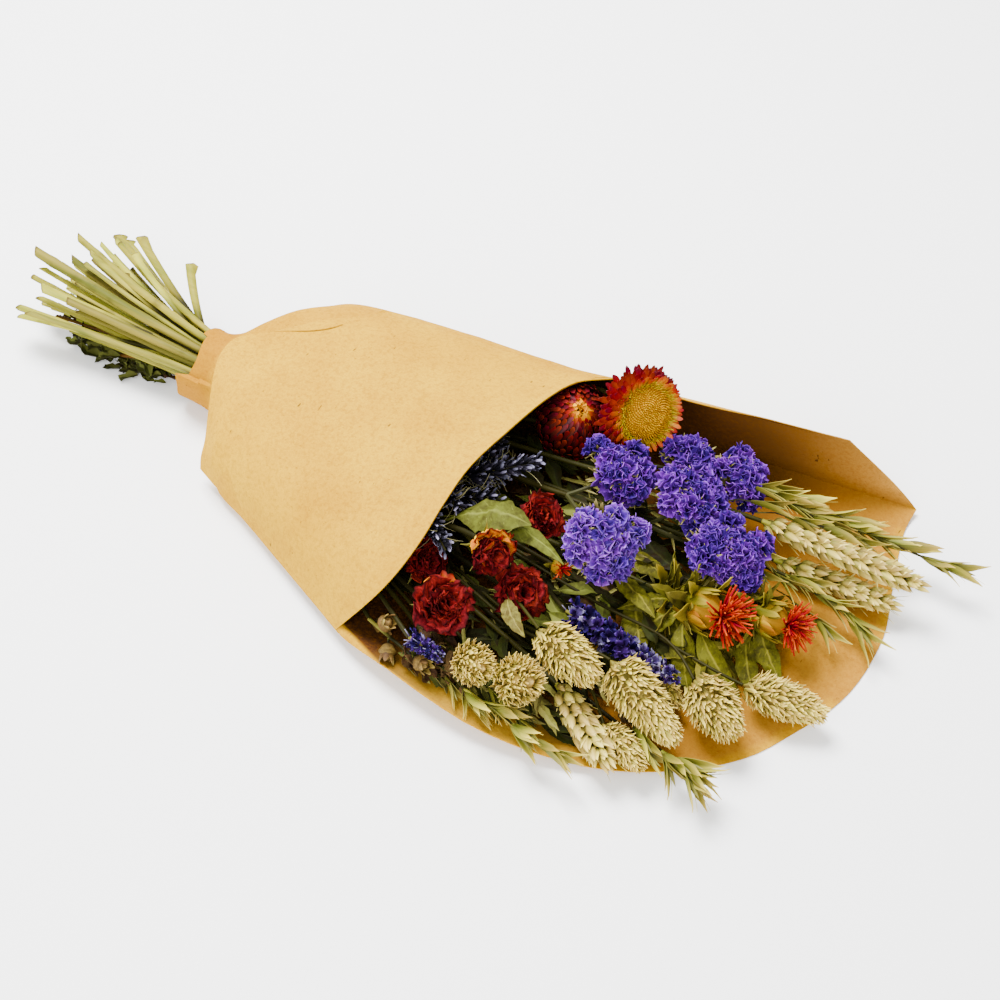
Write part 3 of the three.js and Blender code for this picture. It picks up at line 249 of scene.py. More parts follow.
FLAP_EDGE = (
    (-136, -57, 8), (-136, -55.5, 15), (-137, -50, 22), (-141, -41, 30.5), (-148, -27, 39),
    (-152, -15, 43.3), (-151, -3, 45), (-137, 8.4, 46.8), (-120, 17.5, 48.7), (-110, 28, 49.3),
    (-102.5, 52, 45.0),
)
# How far each lane of the flap stands off the layer below, as a share.
FLAP_LIFT = (0.3, 0.9, 1, 1, 1, 1, 1, 1, 1, 0.8, -0.2)
# How far each lane of the crown bulges behind the flap, on the far side, and the share of it in
# each ring along the wrap.
FAR_BULGE = {6: 0.8, 7: 2.4, 8: 4.8, 9: 6.2, 10: 5.6, 11: 3.4, 12: 1.2}
BULGE_SHARES = (0, 0, 0.3, 0.6, 0.85, 0.9, 0.85, 0.95, 0.35, 0, 0)
WALL_CORNER = 13  # the lane that runs to the corner of the far wall
FAR_FOLD = 15  # the lane where the paper's far wall meets its base
NECK_Y, NECK_Z = -6, 20
BAND_X = -160
SHOULDER_X = -134  # where the body of the wrap begins
BASE_Z = 0.45  # the middle of the paper where it lies flat
PAPER_AXIS_Z = 4.0  # the line that the wrap's outer face looks away from

STEM_STEP = 5.0
TAILS_BEHIND = -120  # stems are bent softly in front of this, and keep their cut ends behind it
PLANT_LOW = 1.0  # plants are pressed flat below this height
OPENED = 0.17  # how far the two glumes of an oat spikelet part
NOISE_SEED = 1


# ---------------------------------------------------------------- shapes and how they are laid


def lerp(a, b, t):
    return a + (b - a) * t


def unit(v):
    v = np.asarray(v, float)
    return v / (np.linalg.norm(v) or 1)


def shake(draw, amount):
    return np.array([draw.uniform(-amount, amount) for _ in range(3)])


def spiral(number):
    """Places on a golden spiral: its number, how far through the spiral it is, and its turn."""
    for k in range(number):
        yield k, (k + 0.5) / number, k * GOLDEN


def arch(start, via, end, t):
    """Points on the curve from start to end that bends towards via."""
    return (1 - t) ** 2 * start + 2 * t * (1 - t) * via + t**2 * end


def srgb(text):
    """A colour written as six hex digits, as Blender's linear numbers."""
    parts = [int(text[i : i + 2], 16) / 255 for i in (0, 2, 4)]
    return tuple(c / 12.92 if c <= 0.04045 else ((c + 0.055) / 1.055) ** 2.4 for c in parts) + (1.0,)


class Shape:
    """A modelled shape in mm: its points, its faces, and how far along and across each point is."""

    def __init__(self, points, faces, along, across):
        self.points = np.asarray(points, float)
        self.faces = faces
        self.along = np.asarray(along, float)
        self.across = np.asarray(across, float)


def clear_selection():
    for thing in bpy.context.selected_objects:
        thing.select_set(False)
    bpy.context.view_layer.objects.active = None


def select_only(obj):
    clear_selection()
    obj.select_set(True)
    bpy.context.view_layer.objects.active = obj


def points_of(obj):
    co = np.empty(len(obj.data.vertices) * 3)
    obj.data.vertices.foreach_get("co", co)
    return co.reshape(-1, 3)


def place_points(obj, *columns):
    """Moves the points to new places: one array of them, or their x, y and z."""
    points = columns[0] if len(columns) == 1 else np.stack(columns, axis=1)
    obj.data.vertices.foreach_set("co", points.ravel())


def modify(obj, kind, **values):
    """Adds a modifier with those values and applies it."""
    modifier = obj.modifiers.new(kind.lower(), kind)
    for key, value in values.items():
        setattr(modifier, key, value)
    select_only(obj)
    bpy.ops.object.modifier_apply(modifier=modifier.name)


def new_grid(columns, rows):
    """A flat grid, each point's place across it from -1 to 1, and along it from 0 to 1."""
    clear_selection()
    bpy.ops.mesh.primitive_grid_add(x_subdivisions=columns, y_subdivisions=rows, size=2)
    obj = bpy.context.object
    flat = points_of(obj)
    return obj, flat[:, 0], (flat[:, 1] + 1) / 2


def take(obj, along, across=None):
    """The shape of a modelled object, which is then removed."""
    faces = [tuple(p.vertices) for p in obj.data.polygons]
    shape = Shape(points_of(obj), faces, along, np.zeros(len(along)) if across is None else across)
    bpy.data.objects.remove(obj)
    return shape


def crumpled(points, amount, grain, seed):
    """The points pushed about by a smooth noise of that grain, in mm."""
    noise.seed_set(NOISE_SEED)  # without it, this noise differs from one run to the next
    start = Vector((seed * 7.3, seed * 3.1, seed * 1.7))
    moved = [noise.noise_vector(Vector(p) / grain + start) for p in points]
    return points + np.array(moved) * np.reshape(amount, (-1, 1))


def blade(length, outline, columns, rows, fold=0.0, cup=0.0, curl=0.0, crumple=0.0, grain=3.0,
          thick=0.25, seed=0, ragged=0.0, wave=0.0, pleat=0.0, lip=0.0):
    """A petal, bract, husk or leaf. It grows along +Z, lies across Y and its back faces +X."""
    obj, across, along = new_grid(columns, rows)
    stops, shares = zip(*outline)
    draw = random.Random(seed)
    teeth = np.array([1 + ragged * (draw.random() - 0.5) for _ in range(rows + 1)])
    half = np.interp(along, stops, shares) * teeth[np.rint(along * rows).astype(int)]
    y = across * half
    x = curl * length * along**2 - fold * np.abs(y) - cup * y**2 / max(shares)
    x = x + wave * np.sin(along * 15 + seed) * across * half
    x = x + pleat * along**1.5 * np.sin(across * 8 + seed * 1.7)
    x = x + lip * length * np.clip(along - 0.7, 0, 1) ** 1.5
    tip = 1 - ragged * 0.25 * np.abs(across) * (along > 0.99)
    points = np.stack([x, y, along * length * tip], axis=1)
    if crumple:
        points = crumpled(points, crumple * np.clip(along * 1.6, 0.15, 1), grain, seed)
    place_points(obj, points)
    modify(obj, "SOLIDIFY", thickness=thick, offset=0)
    return take(obj, np.tile(along, 2), np.tile(across, 2))


def blades(curls, *form, seed=0, **more):
    """Blades of one form that differ in how they curl and crumple."""
    return [blade(*form, curl=curl, seed=seed + k, **more) for k, curl in enumerate(curls)]


def grain_shape(length, width, thick, sides=6, rings=5, belly=0.45, keel=0.0, bend=0.0, beak=0.0):
    """A plump husk, seed or pod: a sphere drawn out to a pointed body along +Z."""
    clear_selection()
    bpy.ops.mesh.primitive_uv_sphere_add(segments=sides, ring_count=rings, radius=1)
    obj = bpy.context.object
    ball = points_of(obj)
    t = (ball[:, 2] + 1) / 2
    around = np.arctan2(ball[:, 1], ball[:, 0])
    body = np.interp(t, (0, 0.12, belly, 0.8, 1), (0, 0.55, 1, 0.55, 0))
    body = np.where((t > 0.001) & (t < 0.999), np.maximum(body, 0.12), 0)
    x = body * np.cos(around) * thick * (1 + keel * (np.cos(around) > 0.9)) + bend * length * t**2
    place_points(obj, x, body * np.sin(around) * width,
                 length * (t + beak * np.maximum(0, t - 0.9) * 10))
    return take(obj, t, np.sin(around))


def papery_cup(size, depth, seed):
    """A papery cup with five crumpled lobes round its rim, open at the top, on a short tube."""
    obj, across, along = new_grid(18, 2)
    turn = (across + 1) * math.pi
    lobes = 1 + (0.16 * np.cos(5 * turn) + 0.12 * np.cos(2 * turn + seed)) * along
    radius = size * np.interp(along, (0, 0.5, 1), (0.14, 0.5, 1.12)) * lobes
    ruffle = 0.5 * np.sin(5 * turn + seed) + 0.35 * np.sin(3 * turn + seed * 2)
    z = depth * np.interp(along, (0, 0.5, 1), (0, 0.62, 0.95)) + ruffle * along**2
    points = np.stack([radius * np.cos(turn), radius * np.sin(turn), z], axis=1)
    round_trip = np.stack([np.cos(turn) * 3, np.sin(turn) * 3, along * 3], axis=1)
    shift = crumpled(round_trip, 1.9 * along**1.2, 1.15, seed) - round_trip
    place_points(obj, points + shift)
    modify(obj, "WELD", merge_threshold=0.01)
    along = np.clip(points_of(obj)[:, 2] / depth, 0, 1)
    modify(obj, "SOLIDIFY", thickness=0.2, offset=0)
    return take(obj, np.tile(along, 2))


def fibre(length, radius, bend=0.2, sides=3, rows=4, flare=0.0):
    """A thin hair or floret tube along +Z, bent towards +X."""
    clear_selection()
    bpy.ops.mesh.primitive_cone_add(vertices=sides, radius1=1, radius2=1, depth=1)
    obj = bpy.context.object
    bpy.ops.object.mode_set(mode="EDIT")
    for k in range(1, rows):
        bpy.ops.mesh.select_all(action="SELECT")
        bpy.ops.mesh.bisect(plane_co=(0, 0, k / rows - 0.5), plane_no=(0, 0, 1))
    bpy.ops.object.mode_set(mode="OBJECT")
    raw = points_of(obj)
    t = raw[:, 2] + 0.5
    taper = radius * (np.interp(t, (0, 0.6, 1), (0.8, 1, 0.45)) + flare * (t > 0.99))
    place_points(obj, raw[:, 0] * taper + bend * length * t**2, raw[:, 1] * taper, t * length)
    return take(obj, t)


def tube(points, radii, sides=6):
    """A stem or twig: a path with a round bevel, filled at its ends and made a mesh."""
    points = np.asarray(points, float)
    radii = np.broadcast_to(np.asarray(radii, float), len(points))
    clear_selection()
    bpy.ops.curve.primitive_nurbs_path_add()
    curve = bpy.context.object.data
    curve.splines.clear()
    line = curve.splines.new("POLY")
    line.points.add(len(points) - 1)
    for knot, p, r in zip(line.points, points, radii):
        knot.co = (*p, 1)
        knot.radius = r
    curve.dimensions, curve.twist_mode = "3D", "MINIMUM"
    curve.bevel_depth, curve.bevel_resolution = 1.0, max(0, (sides - 4) // 2)
    curve.use_fill_caps = True
    bpy.ops.object.convert(target="MESH")
    obj = bpy.context.object
    made = points_of(obj)
    nearest = np.argmin(((made[:, None, :] - points[None, :, :]) ** 2).sum(2), axis=1)
    run = np.concatenate([[0], np.cumsum(np.linalg.norm(np.diff(points, axis=0), axis=1))])
    return take(obj, run[nearest] / run[-1], np.arange(len(made)) % sides / sides)


def leaf_blade(root, via, tip, width, teeth, seed):
    """A leaf from root to tip, arched through via: veined, folded at its rib, toothed at its edges."""
    obj, u, t = new_grid(10, 26)
    root, via, tip = (np.asarray(p, float) for p in (root, via, tip))
    t1 = t[:, None]
    middle = arch(root, via, tip, t1)
    run = 2 * (1 - t1) * (via - root) + 2 * t1 * (tip - via)
    run /= np.linalg.norm(run, axis=1)[:, None]
    side = np.cross(run, (0, 0, 1))
    side /= np.linalg.norm(side, axis=1)[:, None]
    up = np.cross(side, run)
    body = np.interp(
        t, (0, 0.2, 0.32, 0.42, 0.55, 0.7, 0.86, 1), (0.03, 0.04, 0.32, 0.48, 0.5, 0.42, 0.24, 0.01))
    tooth = 1 + 0.16 * ((t * teeth * 2.2) % 1 - 0.5) * (np.abs(u) > 0.95) * (body > 0.1)
    half = width * body * tooth
    vein = np.abs(((t * teeth - np.abs(u) * 1.6) % 1) - 0.5) * 2
    droop = -0.26 * width * body * np.abs(u) ** 1.3
    rise = droop + 0.3 * vein * body + 0.35 * (np.abs(u) < 0.05) * body
    buckle = np.array([
        noise.noise(Vector((a * 0.13, b * 0.13, seed)))
        + 0.5 * noise.noise(Vector((a * 0.4, b * 0.4, seed + 3)))
        for a, b in zip(middle[:, 0] + u * 6, t * 60 + u * 5)
    ])
    place_points(obj, middle + side * (u * half)[:, None] + up * (rise + 4.6 * buckle * body)[:, None])
    modify(obj, "SOLIDIFY", thickness=0.3, offset=0)
    return take(obj, np.tile(vein, 2), np.tile(np.abs(u), 2))


def laid(position, direction, back, width, height):
    """The matrix that stands a shape at position, growing along direction, its back towards back."""
    z = unit(direction)
    x = np.asarray(back, float) - z * np.dot(back, z)
    x = unit(x) if np.linalg.norm(x) > 1e-6 else unit(np.cross(z, (0.3, 0.5, 0.8)))
    matrix = np.eye(4)
    matrix[:3, 0] = x * width
    matrix[:3, 1] = np.cross(z, x) * width
    matrix[:3, 2] = z * height
    matrix[:3, 3] = position
    return matrix


class Head:
    """The frame of a bloom or ear: its axis runs along aim from base."""

    def __init__(self, base, aim):
        self.base = np.array(base, float)
        self.axis = unit(aim)
        turned = np.array(Vector((0, 0, 1)).rotation_difference(Vector(self.axis)).to_matrix())
        self.side, self.other = turned[:, 0], turned[:, 1]

    def out(self, turn):
        return self.side * math.cos(turn) + self.other * math.sin(turn)

    def leaning(self, angle, turn):
        """The direction that leans from the axis by an angle, towards a turn."""
        return self.axis * math.cos(angle) + self.out(turn) * math.sin(angle)

    def at(self, height, reach=0.0, turn=0.0):
        return self.base + self.axis * height + self.out(turn) * reach


class Bunch:
    """Everything that one piece is made of: copies of shapes, each with a finish and a tone."""

    def __init__(self, draw=None):
        self.draw = draw
        self.points, self.faces, self.along, self.across, self.tone = [], [], [], [], []
        self.face_finishes, self.finishes = [], []
        self.size = 0

    def put(self, shape, finish, matrix=None, tone=0.5):
        if finish not in self.finishes:
            self.finishes.append(finish)
        points = shape.points
        if matrix is not None:
            points = points @ matrix[:3, :3].T + matrix[:3, 3]
            z = points[:, 2]
            points[:, 2] = np.where(z < PLANT_LOW, PLANT_LOW + (z - PLANT_LOW) * 0.03, z)
        self.points.append(points)
        self.faces.extend([tuple(i + self.size for i in face) for face in shape.faces])
        self.face_finishes.extend([self.finishes.index(finish)] * len(shape.faces))
        self.along.append(shape.along)
        self.across.append(shape.across)
        self.tone.append(np.full(len(points), tone))
        self.size += len(points)

    def lay(self, shape, finish, position, direction, back, width=1.0, height=1.0, tone=None):
        """A copy of the shape, laid as told, in a tone that is drawn unless one is given."""
        if tone is None:
            tone = self.draw.random()
        self.put(shape, finish, laid(position, direction, back, width, height), tone)

    def core(self, head, heights, radii, finish, sides=6):
        """The stem up the middle of a head, through those heights."""
        self.put(tube([head.at(height) for height in heights], radii, sides), finish)

    def make(self, name, *nodes, slot, angle=50):
        """The piece as one object at the origin, which rides on the body and replaces its solids."""
        mesh = bpy.data.meshes.new(name)
        mesh.from_pydata(np.concatenate(self.points) * MM, [], self.faces)
        for key in ("along", "across", "tone"):
            values = np.concatenate(getattr(self, key)).astype(np.float32)
            mesh.attributes.new(key, "FLOAT", "POINT").data.foreach_set("value", values)
        for finish in self.finishes:
            mesh.materials.append(finish_named(finish))
        mesh.polygons.foreach_set("material_index", self.face_finishes)
        obj = bpy.data.objects.new(name, mesh)
        bpy.context.scene.collection.objects.link(obj)
        select_only(obj)
        bpy.ops.object.shade_smooth_by_angle(angle=math.radians(angle))
        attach(obj, "root")
        if nodes:
            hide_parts(*nodes)


# ---------------------------------------------------------------- stems, followed along the solids


def softened(line):
    return (line[:-2] + line[1:-1] * 2 + line[2:]) / 4


def point_on(line, x):
    return np.array([x, np.interp(x, line[:, 0], line[:, 1]), np.interp(x, line[:, 0], line[:, 2])])


def stem_line(node, radius, end):
    """The middle of a node's stem in mm, from its cut end through the band to its head."""
    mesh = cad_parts[node].data
    co = np.array([v.co for v in mesh.vertices]) / MM
    ends = np.array([e.vertices for e in mesh.edges])
    a, b = co[ends[:, 0]], co[ends[:, 1]]

    def middle(x, guess=None):
        """The middle of the solid's cut at x, or of the part of it that lies near the guess."""
        cut = (a[:, 0] - x) * (b[:, 0] - x) < 0
        t = ((x - a[cut, 0]) / (b[cut, 0] - a[cut, 0]))[:, None]
        marks = (a[cut] + (b[cut] - a[cut]) * t)[:, 1:]
        if guess is not None:
            marks = marks[np.hypot(*(marks - guess).T) < radius * 2.0]
            if len(marks) < 3:
                return None
        return (marks.min(0) + marks.max(0)) / 2

    start = middle(BAND_X)
    line = [np.array([BAND_X, *start])]
    for step, stop in ((STEM_STEP, end[0] - 4), (-STEM_STEP, -400.0)):
        x, last, before, run = BAND_X, start, None, []
        while (stop - x - step) * step > 0:
            x += step
            found = middle(x + 0.13, last if before is None else last * 2 - before)
            if found is None:
                break
            before, last = last, found
            run.append(np.array([x, *found]))
        line = line + run if step > 0 else run[::-1] + line
    line = np.array(line)
    for _ in range(3):
        line[1:-1] = softened(line)
    back = line[0] - line[1]
    cut_x = max(line[0, 0] + back[0] * 0.7, co[:, 0].min() + 0.3)
    tail = line[0] + back * (cut_x - line[0, 0]) / back[0]
    line = np.vstack([tail, line[line[:, 0] > cut_x + 2], np.asarray(end, float)])
    # Even steps, and a soft bend wherever the solid hides the way between two of them.
    steps = np.append(np.arange(cut_x, end[0] - 2, STEM_STEP), end[0])
    line = np.array([point_on(line, x) for x in steps])
    for _ in range(12):
        line[1:-1] = np.where(line[1:-1, :1] > TAILS_BEHIND, softened(line), line[1:-1])
    return line


def cut_straw(shape, line, draw):
    """The stem pressed flat towards its tail, with a slanting cut end."""
    order = np.argsort(line[:, 0])
    middle = np.interp(shape.points[:, 0], line[order, 0], line[order, 2])
    press = np.interp(shape.points[:, 0], (-215, -182), (draw.uniform(0.4, 0.8), 1))
    shape.points[:, 2] = middle + (shape.points[:, 2] - middle) * press
    end = shape.points[:, 0] < line[:, 0].min() + 1.2
    slant = draw.uniform(-1.2, 1.2)
    away = shape.points[end] - line[np.argmin(line[:, 0])]
    shape.points[end, 0] += np.maximum(0, away[:, 1] * slant + 1.5) * 1.2
    return shape


def add_stem(bunch, node, radius, end, finish, seed):
    """A stem with slight joints and a wider, paler cut end. Returns its middle line."""
    line = stem_line(node, radius, end)
    draw = random.Random(seed)
    x = line[:, 0]
    wide = 1.25 * draw.uniform(0.65, 1.3)
    swell = np.interp(x, (-250, -205, -180, -150, 200), (wide, (wide + 1.2) / 2, 1.05, 0.82, 0.62))
    joint = draw.uniform(0, 40)
    knuckle = 1 + 0.16 * np.exp(-(((x - joint) % 62 - 31) / 2.6) ** 2)
    straw = cut_straw(tube(line, radius * swell * knuckle, 8), line, draw)
    bunch.put(straw, finish, tone=draw.random())
    return line


def add_leaves(bunch, node, line):
    for k, (x, via, tip, width, finish) in enumerate(LEAVES.get(node, ())):
        shape = leaf_blade(point_on(line, x), via, tip, width, 8 + width // 3, k * 3 + width)
        bunch.put(shape, finish, tone=0.3 + 0.2 * k)


def make_stalk(name, radius, base, finish, seed, slot="dry_stem"):
    """A flower's stem, with its leaves, as a piece of its own."""
    stem = Bunch()
    line = add_stem(stem, name + "_stem", radius, base, finish, seed)
    add_leaves(stem, name + "_stem", line)
    stem.make(name + "_stalk", name + "_stem", slot=slot)


# ---------------------------------------------------------------- finishes


class Nodes:
    """A material's node tree, with short calls for the nodes that the finishes share."""

    def __init__(self, name, roughness, gloss=0.5):
        self.material = bpy.data.materials.new(name)
        self.material.use_nodes = True
        self.tree = self.material.node_tree
        self.shader = self.tree.nodes["Principled BSDF"]
        self.shader.inputs["Roughness"].default_value = roughness
        self.shader.inputs["Specular IOR Level"].default_value = gloss

    def new(self, kind, **values):
        node = self.tree.nodes.new(kind)
        for key, value in values.items():
            setattr(node, key, value)
        return node

    def feed(self, node, **values):
        """Joins each value to the node's input of that name, or sets a number or colour on it."""
        for key, value in values.items():
            socket = node.inputs[key.replace("_", " ")]
            if isinstance(value, bpy.types.NodeSocket):
                self.tree.links.new(value, socket)
            else:
                socket.default_value = srgb(value) if isinstance(value, str) else value
        return node

    def object_place(self):
        return self.new("ShaderNodeTexCoord").outputs["Object"]

    def axes(self):
        """Where a point lies along X, Y and Z, in metres."""
        return self.feed(self.new("ShaderNodeSeparateXYZ"), Vector=self.object_place()).outputs

    def attribute(self, name):
        return self.new("ShaderNodeAttribute", attribute_name=name).outputs["Fac"]

    def ramp(self, factor, stops):
        """A colour ramp from stops such as "0 1C1B18, 0.4 18161C"."""
        node = self.feed(self.new("ShaderNodeValToRGB"), Fac=factor)
        elements = node.color_ramp.elements
        elements.remove(elements[1])
        for k, stop in enumerate(stops.split(", ")):
            at, colour = stop.split()
            element = elements[0] if k == 0 else elements.new(float(at))
            element.position, element.color = float(at), srgb(colour)
        return node.outputs["Color"]

    def mix(self, factor, a, b, blend="MIX"):
        node = self.new("ShaderNodeMix", data_type="RGBA", blend_type=blend)
        return self.feed(node, Factor=factor, A=a, B=b).outputs["Result"]

    def math(self, operation, a, b=0.0):
        node = self.new("ShaderNodeMath", operation=operation)
        for socket, value in zip(node.inputs, (a, b)):
            if isinstance(value, bpy.types.NodeSocket):
                self.tree.links.new(value, socket)
            else:
                socket.default_value = value
        return node.outputs["Value"]

    def noise(self, scale, detail, roughness=0.55, stretch=None):
        where = self.object_place()
        if stretch:
            mapping = self.new("ShaderNodeMapping")
            where = self.feed(mapping, Scale=stretch, Vector=where).outputs["Vector"]
        node = self.new("ShaderNodeTexNoise")
        self.feed(node, Scale=scale, Detail=detail, Roughness=roughness, Vector=where)
        return node.outputs["Fac"]

    def spread(self, value, low, high, to_low=0.0, to_high=1.0):
        node = self.new("ShaderNodeMapRange")
        self.feed(node, From_Min=low, From_Max=high, To_Min=to_low, To_Max=to_high, Value=value)
        return node.outputs["Result"]

    def vary(self, colour, hue, value):
        """The colour shifted a little for each copy, by its tone."""
        tone = self.attribute("tone")
        node = self.new("ShaderNodeHueSaturation")
        self.feed(node, Hue=self.spread(tone, 0, 1, 0.5 - hue, 0.5 + hue),
                  Value=self.spread(tone, 0, 1, 1 - value, 1 + value), Color=colour)
        return node.outputs["Color"]

    def bump(self, height, strength, distance):
        node = self.feed(
            self.new("ShaderNodeBump"), Strength=strength, Distance=distance, Height=height)
        self.feed(self.shader, Normal=node.outputs["Normal"])

    def finish(self, colour):
        self.feed(self.shader, Base_Color=colour)
        return self.material


def petal_finish(name, stops, roughness, hue, value, mottle, gloss):
    """Dried petals, bracts or florets: a colour that runs along each, mottled and varied."""
    n = Nodes(name, roughness, gloss)
    # Where the ramp starts dark, that foot is painted shade where the petals crowd at their base.
    colour = n.vary(n.ramp(n.attribute("along"), stops), hue, value)
    blotch = n.spread(n.noise(900, 4), 0.35, 0.65, 1 - mottle, 1 + mottle * 0.4)
    n.bump(n.noise(2600, 3), 0.35, 0.0002)
    return n.finish(n.mix(1.0, colour, blotch, "MULTIPLY"))


def husk_finish(name, stops, keel, roughness, hue, value, gloss):
    """Ribbed husks with a green keel and papery pale margins."""
    n = Nodes(name, roughness, gloss)
    # The ramp's dark foot is painted shade where the husks crowd; the pale tip is their own colour.
    colour = n.ramp(n.attribute("along"), stops)
    edge = n.math("ABSOLUTE", n.attribute("across"))
    stripe = n.math("MULTIPLY", n.spread(edge, 0.05, 0.55, 1, 0),
                    n.spread(n.attribute("along"), 0.1, 0.85, 0.9, 0.15))
    ribs = n.math("SINE", n.math("MULTIPLY", n.attribute("across"), 17.0))
    colour = n.mix(n.spread(ribs, -0.2, 1, 0, 0.3), colour, n.mix(0.5, colour, "3A3410"))
    n.bump(n.noise(2400, 2, stretch=(0.4, 1, 1)), 0.3, 0.00015)
    return n.finish(n.vary(n.mix(stripe, colour, keel), hue, value))


def leaf_finish(name, blade_colour, vein_colour, dry_colour, value=0.25):
    """A dry leaf: pale veins, a mottled blade and browned edges."""
    n = Nodes(name, 0.62, 0.05)
    colour = n.mix(n.spread(n.noise(170, 6, 0.7), 0.4, 0.62), blade_colour, dry_colour)
    vein = n.spread(n.attribute("along"), 0.75, 1.0, 0, 0.5)
    rib = n.spread(n.attribute("across"), 0.02, 0.12, 0.45, 0)
    colour = n.mix(n.math("MAXIMUM", vein, rib), colour, vein_colour)
    colour = n.mix(n.spread(n.attribute("across"), 0.86, 1.0, 0, 0.35), colour, dry_colour)
    n.bump(n.noise(700, 5), 0.4, 0.0004)
    return n.finish(n.vary(colour, 0.01, value))


def stem_finish(name, pale, green, dark):
    """A dry stem: fine lengthwise ribs, green and straw streaks, painted shade inside the wrap."""
    n = Nodes(name, 0.5, 0.06)
    streak = n.noise(160, 5, 0.65, stretch=(0.05, 1, 1))
    colour = n.mix(n.spread(streak, 0.35, 0.65), pale, green)
    colour = n.mix(n.spread(n.noise(60, 4), 0.56, 0.74, 0, 0.5), colour, dark)
    # Painted shade: from a third of the way along, which on a stem is inside the wrap, it turns dark.
    colour = n.mix(n.spread(n.attribute("along"), 0.3, 0.5, 0, 0.95), colour, dark)
    colour = n.mix(n.spread(n.attribute("along"), 0.002, 0.008, 0.8, 0), colour, "4A3A18")
    n.bump(n.noise(900, 3, stretch=(0.04, 1, 1)), 0.5, 0.0003)
    return n.finish(n.vary(colour, 0.014, 0.34))


def rubber_finish(name, pale, dark):
    n = Nodes(name, 0.55)
    n.bump(n.noise(900, 2), 0.3, 0.0002)
    return n.finish(n.mix(n.noise(300, 3), pale, dark))


def kraft_finish(name):
    """Brown kraft paper: cloudy pulp, fine grain, dark fibres and a few flecks; painted shade inside."""
    s = bpy.context.scene.bouquet
    n = Nodes(name, 0.8, 0.06)
    x, y, z = n.axes()
    colour = n.mix(n.spread(n.noise(26, 7, 0.62), 0.3, 0.7), tuple(s.paper_pale), tuple(s.paper_brown))
    # Painted shade: the under layer is tinted a little deeper than the flap, so the flap's edge stands
    # out.
    colour = n.mix(n.spread(n.attribute("across"), 0, 1, 0, 0.3), colour, "A87400")
    # Painted shade: the gathered collar at the neck is a little browner.
    colour = n.mix(n.spread(x, -0.158, -0.152, 0.8, 0), colour, "9A6600")
    # Painted shade: the inner face darkens from the cut edge to the mouth, on the wall, on the base
    # and less so on the near lip.
    depth = n.spread(x, 0, 0.18)
    wall = n.ramp(
        depth, "0.15 3A2210, 0.4 5A3616, 0.6 7C5220, 0.75 A8762A, 0.85 C49038, 0.95 CE9A40")
    base = n.ramp(depth, "0.2 241406, 0.5 4E3008, 0.7 86580E, 0.9 A0701A")
    inner = n.mix(n.spread(z, 0.003, 0.012), base, wall)
    # The near lip is lightened, so it takes less of the painted shade.
    lip = n.math("MULTIPLY", n.spread(y, -0.085, -0.105), n.spread(x, 0.0, 0.04))
    inner = n.mix(n.math("MULTIPLY", lip, 0.75), inner, "B48A20")
    # The inner face, marked by its along attribute, takes the painted shade.
    colour = n.mix(n.attribute("along"), colour, inner)
    # Pulp, specks, short fibres and flecks: the noise, where it starts and ends to show, how
    # strong it is, its colour and how much of that it takes.
    for grain, low, high, strong, tint, share in (
        (n.noise(1100, 4, 0.75), 0.4, 0.62, 0.7, "6A3800", 0.3),
        (n.noise(480, 3, 0.65), 0.46, 0.66, 0.62, "7A4800", 0.5),
        (n.noise(520, 2, 0.4, (1, 2.6, 1.4)), 0.66, 0.75, 0.55, "5A2E08", 0.7),
        (n.noise(170, 1, 0.2, (3.4, 1, 2.0)), 0.79, 0.82, 0.75, "3A200A", 1.0),
    ):
        colour = n.mix(n.spread(grain, low, high, 0, strong), colour, n.mix(share, colour, tint))
    grit = n.math("ADD", n.math("MULTIPLY", n.noise(1800, 4), 0.6), n.noise(160, 4))
    n.bump(grit, 0.4, 0.0003)
    return n.finish(colour)
